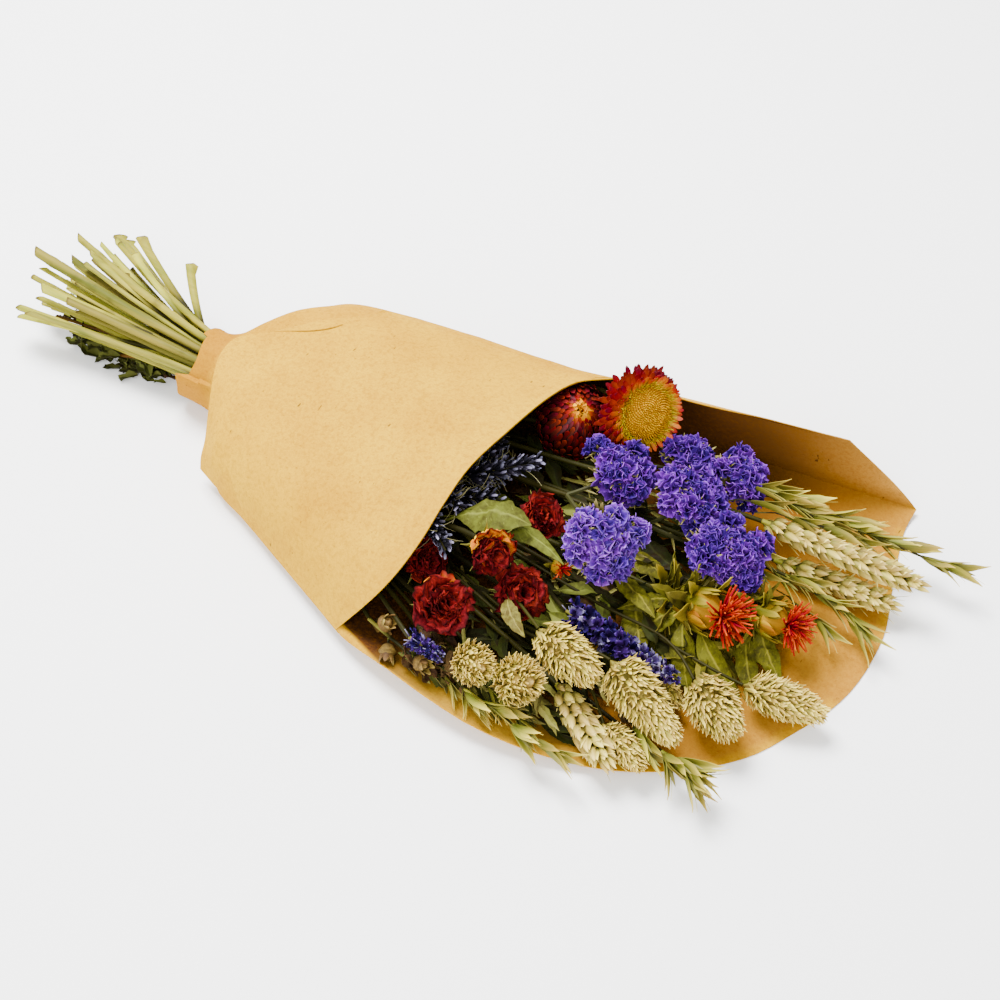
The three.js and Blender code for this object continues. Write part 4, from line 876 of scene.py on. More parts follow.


# Each finish with its colours from foot to tip; a dark foot is painted shade where petals, florets
# and husks crowd. Petals then have their roughness, how far hue and value vary, mottling and gloss;
# husks the colour of the keel, roughness, hue, value and gloss.
FINISHES = {
    "kraft paper": (kraft_finish,),
    "rubber band": (rubber_finish, "8A6B3E", "6F532E"),
    "rose leaf": (leaf_finish, "545A1C", "7C8238", "3A3A12", 0.3),
    # Near-black: partly a dark dry leaf's own colour, partly painted shade in the gaps inside the wrap.
    "dark leaf": (leaf_finish, "181C06", "2E320E", "1C1406"),
    "olive leaf": (leaf_finish, "2C3010", "5E6228", "1E1A0A"),
    "bract leaf": (leaf_finish, "4C480C", "807428", "2E2A08"),
    "brown leaf": (leaf_finish, "3A2612", "60482A", "20140A"),
    "straw leaf": (leaf_finish, "6E6A2E", "A09650", "4A401A"),
    "sepal": (leaf_finish, "545A20", "8C8840", "3A3814"),
    # Stems: pale, green, and a dark that serves for blotches and for the painted shade inside the wrap.
    "dry stem": (stem_finish, "9A9030", "6E721E", "1A1706"),
    "dark stem": (stem_finish, "7C702A", "4E5018", "141206"),
    "green twig": (stem_finish, "36341A", "2C2E12", "1C1A0A"),
    "brown stem": (stem_finish, "6A4C1E", "4A3414", "2A1C0A"),
    "maroon bract": (
        petal_finish, "0 180203, 0.5 3A0506, 0.8 560708, 0.93 6C0A0A, 1 700E0C",
        0.42, 0.015, 0.35, 0.25, 0.14),
    "ember bract": (
        petal_finish, "0 240204, 0.45 4A0602, 0.75 6E0E00, 1 902400", 0.5, 0.015, 0.3, 0.15, 0.06),
    "star bract": (petal_finish, "0 8A2E00, 0.4 AE5C00, 1 C88A00", 0.85, 0.012, 0.15, 0.1, 0.0),
    "flame bract": (
        petal_finish, "0 C07000, 0.3 B44400, 0.52 A01C00, 0.78 840E06, 0.94 600812, 1 721420",
        0.45, 0.015, 0.25, 0.15, 0.08),
    "orange bract": (
        petal_finish, "0 CE9800, 0.5 BA6A00, 0.8 AA3C00, 1 8A1C04", 0.35, 0.02, 0.25, 0.12, 0.2),
    "disc floret": (petal_finish, "0 8A5C00, 0.5 BC8400, 1 DCA400", 0.6, 0.012, 0.22, 0.2, 0.02),
    "rim hair": (petal_finish, "0 4E4600, 0.5 8A7A00, 1 C8A800", 0.6, 0.015, 0.35, 0.2, 0.02),
    "violet cup": (
        petal_finish, "0 140226, 0.4 24044A, 0.72 340A60, 0.92 48187E, 1 7444AE",
        0.65, 0.02, 0.45, 0.4, 0.02),
    "lilac cup": (
        petal_finish, "0 1E0636, 0.4 340C60, 0.72 481A7E, 0.92 602E9A, 1 8660BC",
        0.65, 0.02, 0.35, 0.35, 0.02),
    "statice calyx": (
        husk_finish, "0 34300F, 0.6 726830, 1 A89A5C", "4A4C20", 0.55, 0.012, 0.2, 0.2),
    "brick petal": (
        petal_finish, "0 5E1606, 0.22 640E0A, 0.6 540A0C, 0.88 781614, 1 320608",
        0.7, 0.006, 0.45, 0.5, 0.04),
    "blush petal": (
        petal_finish, "0 CC9A14, 0.5 CC8C08, 0.76 B86404, 0.92 801C06, 1 480806",
        0.55, 0.014, 0.25, 0.25, 0.06),
    "indigo floret": (
        petal_finish, "0 0C0618, 0.4 180A30, 0.8 26124C, 1 4C387E", 0.75, 0.02, 0.6, 0.5, 0.02),
    "grey blue floret": (
        petal_finish, "0 2A1E44, 0.5 40325E, 1 84809C", 0.75, 0.02, 0.4, 0.4, 0.02),
    "tan bud": (husk_finish, "0 54460A, 0.45 8A640E, 1 94600E", "5A5008", 0.65, 0.02, 0.3, 0.02),
    "safflower bract": (
        husk_finish, "0 423C08, 0.5 5E5410, 1 8A7420", "3C3E08", 0.55, 0.014, 0.35, 0.03),
    "orange floret": (
        petal_finish, "0 3A0500, 0.35 700600, 0.75 901002, 1 A43208", 0.45, 0.015, 0.35, 0.1, 0.05),
    "slate calyx": (
        petal_finish, "0 1C1B18, 0.4 18161C, 0.8 1A1822, 1 48444E", 0.85, 0.02, 0.7, 0.4, 0.02),
    "faded corolla": (petal_finish, "0 2E2A3C, 1 84819A", 0.8, 0.02, 0.5, 0.2, 0.05),
    "pale wisp": (petal_finish, "0 5A5430, 1 989268", 0.7, 0.01, 0.3, 0.1, 0.05),
    "canary husk": (
        husk_finish, "0 54481A, 0.25 7E6C2A, 0.5 A08A38, 0.75 C4A848, 1 E8CC74", "827C2E",
        0.55, 0.012, 0.28, 0.1),
    "wheat husk": (
        husk_finish, "0 46421A, 0.3 7E7230, 0.65 B09A46, 1 E0C672", "666A26",
        0.5, 0.014, 0.3, 0.1),
    "oat glume": (
        husk_finish, "0 464412, 0.35 666420, 0.7 8C7E2E, 1 C2A84A", "4E5416",
        0.5, 0.014, 0.35, 0.08),
    "oat floret": (
        husk_finish, "0 34340E, 0.5 4E4E1C, 1 86803C", "363C12", 0.5, 0.012, 0.2, 0.2),
    "brown capsule": (petal_finish, "0 2A1E0C, 0.5 58421A, 1 806634", 0.6, 0.02, 0.4, 0.4, 0.1),
}
MADE = {}


def finish_named(name):
    """The finish of that name, made once."""
    if name not in MADE:
        maker, *how = FINISHES[name]
        MADE[name] = maker(name, *how)
    return MADE[name]


# ---------------------------------------------------------------- sizes and colours to change


class BouquetSettings(bpy.types.PropertyGroup):
    """Sizes and colours of the bouquet."""

    paper_pale: bpy.props.FloatVectorProperty(
        name="Paper, pale", description="Lighter tint of the kraft paper", subtype="COLOR", size=4,
        default=srgb("C89A00"), min=0, max=1)
    paper_brown: bpy.props.FloatVectorProperty(
        name="Paper, brown", description="Darker tint of the kraft paper", subtype="COLOR", size=4,
        default=srgb("B28200"), min=0, max=1)
    paper_thickness: bpy.props.FloatProperty(
        name="Paper thickness", description="Thickness of the paper as shown", default=0.0005,
        min=0.0001, max=0.0009, unit="LENGTH")
    paper_waves: bpy.props.FloatProperty(
        name="Paper waves", description="How far the crown of the wrap bulges and dips",
        default=0.0009, min=0, max=0.003, unit="LENGTH")
    husks_per_head: bpy.props.IntProperty(
        name="Husks per head", description="Husks on a full canary grass head", default=400,
        min=60, max=500)
    petals_per_rose: bpy.props.IntProperty(
        name="Petals per rose", description="Petals in each dried rose", default=30, min=10, max=50)
    floor_tint: bpy.props.FloatVectorProperty(
        name="Floor", description="Colour of the floor", subtype="COLOR", size=4,
        default=(0.95, 0.95, 0.95, 1), min=0, max=1)
    key_power: bpy.props.FloatProperty(
        name="Key light", description="Power of the large soft light", default=78.0, min=0,
        unit="POWER")


# ---------------------------------------------------------------- the wrap


def smooth_through(rows, steps):
    """Rows of points with more rows between them, on smooth curves through them."""
    rows = np.asarray(rows, float)
    last = len(rows) - 1
    out = []
    for k in range(last):
        p0, p1, p2, p3 = (rows[min(max(k + d, 0), last)] for d in (-1, 0, 1, 2))
        for s in range(steps):
            t = s / steps
            out.append(
                0.5 * (2 * p1 + (p2 - p0) * t + (2 * p0 - 5 * p1 + 4 * p2 - p3) * t**2
                       + (3 * p1 - p0 - 3 * p2 + p3) * t**3)
            )
    return np.array([*out, rows[-1]])


def wrap_section(x, near, far, top, fold, bottom, body):
    """The paper's section at x: round at the neck, a flat-based superellipse in the body."""
    ring = []
    yc, width = (near + far) / 2, (far - near) / 2
    power = lerp(1, 0.8, body)
    for degrees, *_ in CROWN_LANES:
        c, s = math.cos(math.radians(degrees)), math.sin(math.radians(degrees))
        ring.append((x, yc + width * math.copysign(abs(c) ** power, c),
                     fold + (top - fold) * abs(s) ** power))
    for j, (share, *_) in enumerate(BASE_LANES):
        a = -math.pi * (j + 1) / (len(BASE_LANES) + 1)
        flat = fold * 0.25 if abs(share) > 0.9 else bottom
        ring.append((x, lerp(yc + width * math.cos(a), yc + width * share, body),
                     lerp(fold + (fold - bottom) * math.sin(a), flat, body)))
    return np.array(ring)


def lifted(point, rise):
    """The point moved outwards from the middle of the wrap."""
    return point + unit(point * (0, 1, 1) - (0, 0, 6)) * rise


def wrap_rings():
    """The wrap's rings: a gathered neck, the shoulder, and the body out to the cut edge."""
    # x, near side, far side, top, height of the fold, bottom, and how much of a body it is
    rings = [wrap_section(*section) for section in (
        (-171, -24, 12, 38, 20, 2, 0),
        (-164, -24, 12, 38, 20, 2, 0),
        (-156, -24, 15, 39, 18, 1.5, 0.2),
        (-149, -26, 26, 41.5, 14, 0.6, 0.6),
        (-141, -34, 40, 43, 10, BASE_Z, 0.9),
        (-131, -46, 53, 43.5, 8, BASE_Z, 1),
    )]
    shoulder = wrap_section(SHOULDER_X, -57, 61, 44.5, 7, BASE_Z, 1)
    rim = np.array([(x, y, max(z, BASE_Z)) for _, x, y, z in CROWN_LANES + BASE_LANES], float)
    rings += [lerp(shoulder, rim, u) for u in (0.1, 0.3, 0.6, 0.82, 1)]
    for ring, share in zip(rings, BULGE_SHARES):
        for lane, rise in FAR_BULGE.items():
            ring[lane] = lifted(ring[lane], rise * share)
    return rings, shoulder, rim


def flap_rows(shoulder, rim):
    """The second layer of paper, from its free edge over the shoulder to the edge of the mouth."""
    rows = []
    for v in (0, 0.035, 0.08, 0.15, 0.25, 0.4, 0.6, 0.8, 0.93, 1):
        row = []
        for lane, edge in enumerate(FLAP_EDGE):
            edge = np.array(edge, float)
            reach = (edge[0] + 6 - shoulder[lane][0]) / (rim[lane][0] - shoulder[lane][0])
            u = lerp(max(0.02, reach), 1, v)
            bulge = FAR_BULGE.get(lane, 0) * np.interp(u, (0.1, 0.3, 0.6, 0.82), (0.85, 0.95, 0.35, 0))
            # The free edge stands open, and less so on the far side.
            lift = FLAP_LIFT[lane]
            open_edge = 1.4 * math.exp(-v / 0.07) * max(0, lift) * (1 if lane < 7 else 0.35)
            rise = bulge + (0.55 * lift + open_edge)
            row.append(edge if v == 0 else lifted(lerp(shoulder[lane], rim[lane], u), rise))
        rows.append(row)
    return rows


def outwards_from(points, axis_y, axis_z):
    """The way out from a line along the wrap, for each point."""
    out = (points - (0, axis_y, axis_z)) * (0, 1, 1)
    return out / (np.linalg.norm(out, axis=1)[:, None] + 1e-9)


def paper_sheet(grid, closed, thickness, waves):
    """A sheet of paper over a grid of points, waved a little and given its thickness."""
    rows, columns = grid.shape[:2]
    flat = grid.reshape(-1, 3).copy()
    soft = np.clip((flat[:, 2] - 1.5) / 8, 0, 1)
    out = outwards_from(flat, 0, PAPER_AXIS_Z)
    bulge = np.array([
        noise.noise(Vector(p) / 46) + 0.35 * noise.noise(Vector(p) / 15 + Vector((3, 1, 2)))
        for p in flat
    ])
    # The neck is wrapped twice: its outer turn starts on the near side and sticks out below.
    neck = np.clip((-152 - flat[:, 0]) / 6, 0, 1) * closed
    round_neck = outwards_from(flat, NECK_Y, NECK_Z)
    turn = np.arctan2(round_neck[:, 2], round_neck[:, 1]) - math.radians(158)
    turn = turn % math.tau / math.tau
    outer_turn = np.clip(1 - turn / 0.42, 0, 1)
    pleats = 0.3 * np.cos(turn * 44) + 0.5 * outer_turn * np.cos(turn * 30)
    flat += out * (soft * bulge * waves * (1 - neck))[:, None]
    flat += round_neck * ((2.0 * np.minimum(outer_turn * 1.6, 1) + pleats) * neck)[:, None]
    end = np.clip((-163 - flat[:, 0]) / 8, 0, 1) * closed
    ragged = 1.4 * np.sin(turn * 21 + 1) - 4.5 * np.minimum(outer_turn * 2.5, 1) + 3 * (turn > 0.8)
    flat[:, 0] += end * ragged
    # The base shows the soft dents of paper that lies loosely on the table.
    dents = np.array([noise.noise(Vector(p) / 30 + Vector((5, 5, 5))) for p in flat])
    low = np.clip((flat[:, 0] - 20) / 60, 0, 1) * (flat[:, 2] < 0.5) * closed
    inner = 1 - np.clip(np.abs(np.linspace(-1, 1, rows)) * 6 - 5, 0, 1)
    height = np.where(flat[:, 2] < 0.5, 0.0, flat[:, 2] - 0.2)
    flat[:, 2] = np.maximum(height, thickness / 2)
    flat[:, 2] += low * np.repeat(inner, columns) * np.clip(dents, 0, 1) * 2.2
    obj, _, _ = new_grid(columns - 1, rows - 1)
    place_points(obj, flat)
    if closed:
        modify(obj, "WELD", merge_threshold=0.002)
    modify(obj, "SOLIDIFY", thickness=thickness, offset=0)
    # Each point knows whether it lies on the inner face of the paper, and on which layer: the finish
    # paints shade on the inner face and on the under layer.
    normals = np.array([v.normal for v in obj.data.vertices])
    outwards = points_of(obj) * (0, 1, 1) - (0, 0, PAPER_AXIS_Z)
    inside = ((normals * outwards).sum(1) < 0).astype(float)
    return take(obj, inside * closed, np.full(len(inside), float(closed)))


class BOUQUET_OT_paper(bpy.types.Operator):
    """Wrap of kraft paper with its flap"""

    bl_idname = "bouquet.paper"
    bl_label = "Paper wrap"

    def execute(self, context):
        s = context.scene.bouquet
        thick, waves = s.paper_thickness / MM, s.paper_waves / MM
        rings, shoulder, rim = wrap_rings()
        lanes = []
        for ring in rings:
            # It turns smoothly, apart from the far wall's corner and the fold at the base.
            turned = np.vstack([ring[FAR_FOLD:], ring[: WALL_CORNER + 1]])
            wall = smooth_through(ring[WALL_CORNER : FAR_FOLD + 1], 5)
            lanes.append(np.vstack([smooth_through(turned, 5), wall[1:]]))
        body = smooth_through(lanes, 6)
        flap = smooth_through([smooth_through(row, 5) for row in flap_rows(shoulder, rim)], 5)
        wrap = Bunch()
        wrap.put(paper_sheet(body, True, thick, waves), "kraft paper")
        wrap.put(paper_sheet(flap, False, thick, waves), "kraft paper")
        wrap.make("kraft_paper_wrap", "paper_wrap", slot="kraft_paper", angle=30)
        return {"FINISHED"}


class BOUQUET_OT_band(bpy.types.Operator):
    """Rubber band round the stems, twisted on itself"""

    bl_idname = "bouquet.band"
    bl_label = "Stem band"

    def execute(self, context):
        low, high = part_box("stem_band")
        reach = (high.y - low.y) / 2 / MM - 0.75
        turns = np.linspace(0, math.tau, 49)
        band = Bunch()
        for k in range(3):
            wave = 0.45 * np.sin(turns * 2 + k * 2)
            ring = np.stack([
                BAND_X + (k - 1) * 1.9 + wave * 0.6,
                NECK_Y + reach * np.cos(turns),
                NECK_Z + reach * np.sin(turns),
            ], axis=1)
            band.put(tube(ring, 0.72, 6), "rubber band")
        band.make("stem_rubber_band", "stem_band", slot="band")
        return {"FINISHED"}


# ---------------------------------------------------------------- flowers


class BOUQUET_OT_strawflowers(bpy.types.Operator):
    """Two strawflowers: a closed dark one and an open one with a golden disc"""

    bl_idname = "bouquet.strawflowers"
    bl_label = "Strawflowers"

    def execute(self, context):
        outline = ((0, 0.7), (0.4, 1.25), (0.7, 1.45), (0.9, 1.35), (1, 0.8))
        bracts = blades((-0.12, -0.05, 0.03, 0.08), 10, outline, 2, 5, fold=-0.25, thick=0.16,
                        crumple=0.35, grain=2.5, ragged=0.25)
        self.dark_bloom(bracts)
        self.gold_bloom(bracts)
        for k, (name, (base, *_)) in enumerate(STRAWFLOWERS.items()):
            make_stalk(name, 1.7, base, "dry stem", 20 + k)
        return {"FINISHED"}

    def dark_bloom(self, bracts):
        base, aim, size = STRAWFLOWERS["strawflower_dark"]
        draw = random.Random(11)
        head, bloom = Head(base, aim), Bunch(draw)
        for _, q, turn in spiral(230):
            phi = math.radians(lerp(122, 3, q**0.78))
            normal = head.leaning(phi, turn)
            tangent = head.axis * math.sin(phi) - head.out(turn) * math.cos(phi)
            tip = head.at(size * 0.36) + normal * size * lerp(0.97, 0.86, q)
            direction = unit(tangent + normal * draw.uniform(0.16, 0.34) * lerp(1, 1.8, q))
            length = lerp(10, 7.5, q)
            kind = "maroon" if q < 0.86 else "ember" if q < 0.92 else "star"
            bloom.lay(draw.choice(bracts), kind + " bract", tip - direction * length, direction,
                      normal, lerp(1.05, 0.62, q), length / 10)
        for _, q, turn in spiral(34):
            lean = head.out(turn + draw.uniform(-0.4, 0.4)) * draw.uniform(-0.25, 0.35)
            root = head.at(size * 1.02, 2.6 * math.sqrt(q), turn)
            bloom.lay(bracts[0], "star bract", root, head.axis + lean, -head.out(turn), 0.55,
                      draw.uniform(0.36, 0.5))
        bloom.make("strawflower_dark_bracts", "strawflower_dark", slot="strawflower_maroon", angle=60)

    def gold_bloom(self, bracts):
        base, aim, size = STRAWFLOWERS["strawflower_gold"]
        draw = random.Random(12)
        head, bloom, disc = Head(base, aim), Bunch(draw), Bunch(draw)
        for _, q, turn in spiral(210):
            reach = size * lerp(1.12, 0.86, q) * draw.uniform(0.95, 1.05)
            tip = head.at(size * lerp(-0.02, 0.68, q**0.9), reach, turn)
            root = head.at(size * lerp(0.06, 0.42, q), size * lerp(0.34, 0.6, q), turn)
            bloom.lay(draw.choice(bracts), "flame bract" if q < 0.66 else "orange bract", root,
                      tip - root, unit(head.out(turn) * 0.4 - head.axis), lerp(1.05, 0.72, q),
                      np.linalg.norm(tip - root) / 10)
        bloom.make("strawflower_gold_bracts", "strawflower_gold", slot="strawflower_flame", angle=60)

        floret = grain_shape(2.4, 0.42, 0.42, 5, 4, 0.6)
        hair = fibre(4.2, 0.16, 0.25)
        dome = grain_shape(10, 13.6, 13.6, 20, 8, 0.5)
        disc.lay(dome, "disc floret", head.at(size * 0.26), head.axis, head.side, 1, 0.55, 0.2)
        for _, share, turn in spiral(620):
            q = math.sqrt(share)
            height = size * (0.62 - 0.16 * q**3 + 0.03 * math.exp(-((q - 0.45) / 0.12) ** 2))
            out = head.out(turn)
            disc.lay(floret, "disc floret", head.at(height - 1.2, size * 0.68 * q, turn),
                     head.axis + out * 0.55 * q**2, out, draw.uniform(0.8, 1.2),
                     draw.uniform(0.75, 1.1), draw.random() * (1.1 - 0.5 * q))
        for _, _, turn in spiral(360):
            reach = size * draw.uniform(0.56, 0.72)
            direction = head.axis + head.out(turn) * draw.uniform(-0.2, 0.8)
            root = head.at(size * (0.46 - 0.3 * (reach / size - 0.5)), reach, turn)
            disc.lay(hair, "rim hair", root, direction, head.out(turn + draw.random()))
        disc.make("strawflower_gold_florets", "strawflower_gold_disc", slot="disc_gold")


class BOUQUET_OT_statice(bpy.types.Operator):
    """Three branched statice stems with six combs of violet papery cups"""

    bl_idname = "bouquet.statice"
    bl_label = "Statice"

    def execute(self, context):
        cups = [papery_cup(3.3, 5.2, k) for k in range(8)]
        husk = blade(6.5, ((0, 0.5), (0.5, 0.8), (1, 0.05)), 2, 3, fold=0.5, thick=0.2, crumple=0.4)
        for number, name in enumerate(STATICE_COMBS):
            self.comb(name, random.Random(30 + number), cups, husk)
        for k, (name, (base, combs)) in enumerate(STATICE_STEMS.items()):
            draw = random.Random(40 + k)
            stem = Bunch(draw)
            line = add_stem(stem, name + "_stem", 1.8, base, "dry stem", 44 + k)
            fork = np.array(base, float)
            for comb in combs:
                to, aim, *_ = STATICE_COMBS[comb]
                bow = (fork + to) / 2 - unit(aim) * 2
                path = arch(fork, bow, np.array(to, float), np.linspace(0, 1, 7)[:, None])
                stem.put(tube(path, np.linspace(1.1, 0.8, 7), 6), "green twig", tone=0.4)
                for root in path[1:5]:
                    stem.lay(husk, "statice calyx", root, unit(to - fork) + shake(draw, 0.8),
                             (0, 0, -1), 0.9, draw.uniform(0.7, 1.2))
            add_leaves(stem, name + "_stem", line)
            stem.make(name + "_stalk", name + "_stem", slot="sage_green")
        return {"FINISHED"}

    def comb(self, name, draw, cups, husk):
        """A comb of small lumps, each a cluster of cups over its husks."""
        base, aim, length, width, height, lumps = STATICE_COMBS[name]
        head, comb = Head(base, aim), Bunch(draw)
        side, other, axis = head.side, head.other, head.axis
        lilac = name == LILAC_COMB
        for k in range(lumps):
            tilt = 1.35 * math.sqrt((k + 0.3) / lumps) * draw.uniform(0.8, 1.15)
            turn = k * GOLDEN + draw.uniform(-0.3, 0.3)
            nx, ny = math.sin(tilt) * math.cos(turn), math.sin(tilt) * math.sin(turn)
            nz = math.cos(tilt)
            reach = draw.uniform(0.7, 1.32)
            centre = (
                head.base + side * (nx * length * 0.34 * reach) + other * (ny * width * 0.34 * reach)
                + axis * height * (0.12 + 0.42 * nz * reach))
            lump = Head(centre, unit(side * nx * 0.8 + other * ny * 0.8 + axis * (nz * 0.9 + 0.3)))
            many = round(draw.uniform(9, 11))
            for j in range(many):
                lean = 1.15 * math.sqrt((j + 0.3) / many)
                direction = unit(lump.leaning(lean, j * GOLDEN + k) + shake(draw, 0.2))
                grow = draw.uniform(0.66, 1.16)
                mouth = lump.base + direction * 6.6 * draw.uniform(0.9, 1.08)
                comb.lay(draw.choice(cups), "lilac cup" if lilac else "violet cup",
                         mouth - direction * 5.0 * grow, direction, head.out(draw.uniform(0, 6)),
                         grow, grow)
            for j in range(9):
                direction = lump.axis * draw.uniform(-0.1, 0.7) + lump.out(j * 0.7 + k)
                comb.lay(husk, "statice calyx", lump.base + unit(direction) * 1.5, direction,
                         -lump.axis, draw.uniform(0.7, 1.1), draw.uniform(0.75, 1.15))
        for _, _, turn in spiral(110 if lilac else 60):
            q = draw.uniform(0.3, 1.0)
            oval = side * math.cos(turn) * length + other * math.sin(turn) * width
            root = head.base + oval * 0.36 * q + axis * height * draw.uniform(0.0, 0.16)
            direction = head.out(turn) * draw.uniform(0.5, 1.2) + axis * draw.uniform(-0.1, 0.8)
            comb.lay(husk, "statice calyx", root, direction, -axis, draw.uniform(0.8, 1.2),
                     draw.uniform(0.8, 1.3))
        comb.make(name + "_florets", name, slot="statice_violet", angle=60)


class BOUQUET_OT_roses(bpy.types.Operator):
    """Five dried roses with wrinkled petals, sepals, stems and leaves"""

    bl_idname = "bouquet.roses"
    bl_label = "Roses"

    def execute(self, context):
        outline = ((0, 1.04), (0.25, 3.224), (0.55, 5.2), (0.85, 5.096), (1, 3.64))
        petals = blades([-0.05] * 8, 10, outline, 9, 8, cup=0.5, crumple=1.5, grain=2.6, thick=0.22,
                        seed=3, ragged=0.4, wave=0.2, pleat=0.75, lip=0.9)
        sepal = blade(11, ((0, 1.2), (0.4, 1.5), (1, 0.05)), 2, 6, fold=0.3, curl=0.55, thick=0.22,
                      crumple=0.8)
        hip = grain_shape(7, 3.4, 3.4, 10, 6, 0.6)
        for number, (name, (base, aim, size)) in enumerate(ROSES.items()):
            draw = random.Random(50 + number)
            head, bloom = Head(base, aim), Bunch(draw)
            pale_side, pale = BLUSH_ROSES.get(name, (None, 0))
            for k, q, turn in spiral(context.scene.bouquet.petals_per_rose):
                turn = turn + draw.uniform(-0.35, 0.35)
                spread = lerp(0.8, 0.1, q**0.75) + draw.uniform(-0.14, 0.14)
                root = head.at(size * lerp(0.08, 0.35, q), size * lerp(0.34, 0.05, q), turn)
                height = size * lerp(1.06, 1.08, q) * draw.uniform(0.8, 1.1)
                facing = head.out(turn + draw.uniform(-0.25, 0.25))
                blush = k < pale and np.dot(head.out(turn), unit(pale_side)) > -0.1
                bloom.lay(draw.choice(petals), "blush petal" if blush else "brick petal", root,
                          head.axis + head.out(turn) * spread, facing,
                          size / 10 * lerp(1.15, 0.5, q), height / 10)
            bloom.lay(hip, "sepal", head.at(-2.0), head.axis, head.side, tone=0.5)
            for k in range(5):
                turn = math.tau * k / 5
                out = head.out(turn)
                bloom.lay(sepal, "sepal", head.at(1.5, 1.6, turn), head.axis * 0.9 + out * 0.8, out)
            bloom.make(name + "_petals", name, slot="rose_red", angle=70)
            make_stalk(name, 1.8, base, "dark stem", 60 + number, "leaf_green")
        return {"FINISHED"}


class BOUQUET_OT_larkspurs(bpy.types.Operator):
    """A long and a short larkspur spike of crumpled indigo florets"""

    bl_idname = "bouquet.larkspurs"
    bl_label = "Larkspurs"

    def execute(self, context):
        outline = ((0, 0.5), (0.35, 1.5), (0.7, 1.9), (1, 0.5))
        petals = blades([0.08] * 5, 5.4, outline, 3, 4, cup=0.5, crumple=1.5, grain=1.6, thick=0.18,
                        ragged=0.5)
        spur = fibre(7, 0.35, -0.3)
        for number, (name, (base, aim, size, length, florets)) in enumerate(LARKSPURS.items()):
            draw = random.Random(70 + number)
            head, spike = Head(base, aim), Bunch(draw)
            spike.core(head, (0, length * 0.5, length * 0.98), (0.9, 0.7, 0.4), "dark stem")
            for _, t, turn in spiral(florets):
                small = 1 - 0.42 * t**2
                centre = head.at(length * (0.03 + 0.92 * t), size * 0.34 * small, turn)
                facing = unit(head.out(turn) + head.axis * draw.uniform(0.2, 0.8))
                across = unit(np.cross(facing, head.axis))
                along = np.cross(across, facing)
                for j in range(5):
                    a = math.tau * (j + draw.random() * 0.5) / 5
                    spoke = across * math.cos(a) + along * math.sin(a)
                    direction = spoke + facing * draw.uniform(0.3, 1.2)
                    reach = size / 9.2 * small * draw.uniform(0.8, 1.15)
                    faded = draw.random() < 0.12 + 0.5 * t**3
                    spike.lay(draw.choice(petals), "grey blue floret" if faded else "indigo floret",
                              centre, direction, -facing, reach, reach)
                spike.lay(spur, "grey blue floret", centre, -facing + head.axis * 0.3, head.axis, 1,
                          small)
            spike.make(name + "_florets", name, slot="larkspur_blue", angle=70)
            make_stalk(name, 1.5, base, "dark stem", 74 + number)
        return {"FINISHED"}


class BOUQUET_OT_safflowers(bpy.types.Operator):
    """Safflower heads in leafy spined bracts, with red-orange tufts"""

    bl_idname = "bouquet.safflowers"
    bl_label = "Safflowers"

    def execute(self, context):
        bud = grain_shape(10, 5.6, 5.6, 16, 9, 0.45)
        scales = blades([-0.16] * 3, 10, ((0, 1.7), (0.4, 2.3), (0.8, 1.5), (1, 0.1)), 4, 6,
                        cup=0.45, crumple=0.3, thick=0.25, ragged=0.2)
        leafy = blades((0.1, 0.28, -0.15, 0.4), 10,
                       ((0, 0.9), (0.25, 1.9), (0.5, 2.2), (0.8, 1.3), (1, 0.05)), 4, 10,
                       seed=5, cup=0.3, crumple=0.7, thick=0.2, ragged=0.3, wave=0.12)
        florets = [fibre(10, 0.46, bend, 4, 5, 0.3) for bend in (-0.4, -0.1, 0.2, 0.5)]
        # Rows of scales: how many, and their height, reach and length.
        full_rows = ((9, -0.1, 0.68, 0.95), (8, 0.2, 0.76, 0.85), (7, 0.5, 0.72, 0.6))
        small_rows = ((5, 0.1, 0.6, 0.8),)
        for number, (name, (base, aim, size)) in enumerate(SAFFLOWERS.items()):
            full, share = size > 6, size / 10
            draw = random.Random(80 + number)
            head, body, tuft = Head(base, aim), Bunch(draw), Bunch(draw)
            line = add_stem(body, name, 2.1 if full else 1.4, base, "dry stem", 84 + number)
            body.lay(bud, "tan bud", head.at(0), head.axis, head.side, share * 1.4, share * 1.42, 0.6)
            for w, (many, height, reach, tall) in enumerate(full_rows if full else small_rows):
                for k in range(many):
                    turn = math.tau * (k + w * 0.5) / many + draw.uniform(-0.1, 0.1)
                    out = head.out(turn)
                    body.lay(draw.choice(scales), "safflower bract" if (k + w) % 3 else "tan bud",
                             head.at(size * height, size * reach * 0.9, turn),
                             head.axis + out * 0.22, out, share * 0.72, share * tall * 1.25)
            for k in range(44 if full else 6):
                turn = k * GOLDEN + 0.4
                direction = head.axis * draw.uniform(-0.1, 1.0) + head.out(turn) * draw.uniform(0.5, 0.9)
                root = head.at(size * draw.uniform(-1.0, 0.35), size * 0.3, turn)
                long = share * draw.uniform(0.9, 1.5)
                low = (root + unit(direction) * long * 10)[2]
                if low < 3:
                    direction = direction + np.array((0, 0, (3 - low) / long / 8))
                body.lay(draw.choice(leafy), "bract leaf" if k % 3 else "safflower bract", root,
                         direction, -head.axis + head.out(turn) * 0.2,
                         share * draw.uniform(0.9, 1.35), long)
            add_leaves(body, name, line)
            body.make(name + "_head", name, slot="sage_green", angle=60)
            for _, q, turn in spiral(180 if full else 34):
                tilt = 1.3 * math.sqrt(q) * draw.uniform(0.75, 1.15)
                direction = head.leaning(tilt, turn)
                length = size * draw.uniform(0.45, 1.08)
                tuft.lay(draw.choice(florets), "orange floret",
                         head.at(size * 1.32) + direction * size * 0.1, direction,
                         head.out(turn + draw.uniform(-2, 2)), max(0.75, share * 0.85), length / 10)
            tuft.make(name + "_florets", name + "_tuft", slot="safflower_orange")
        return {"FINISHED"}


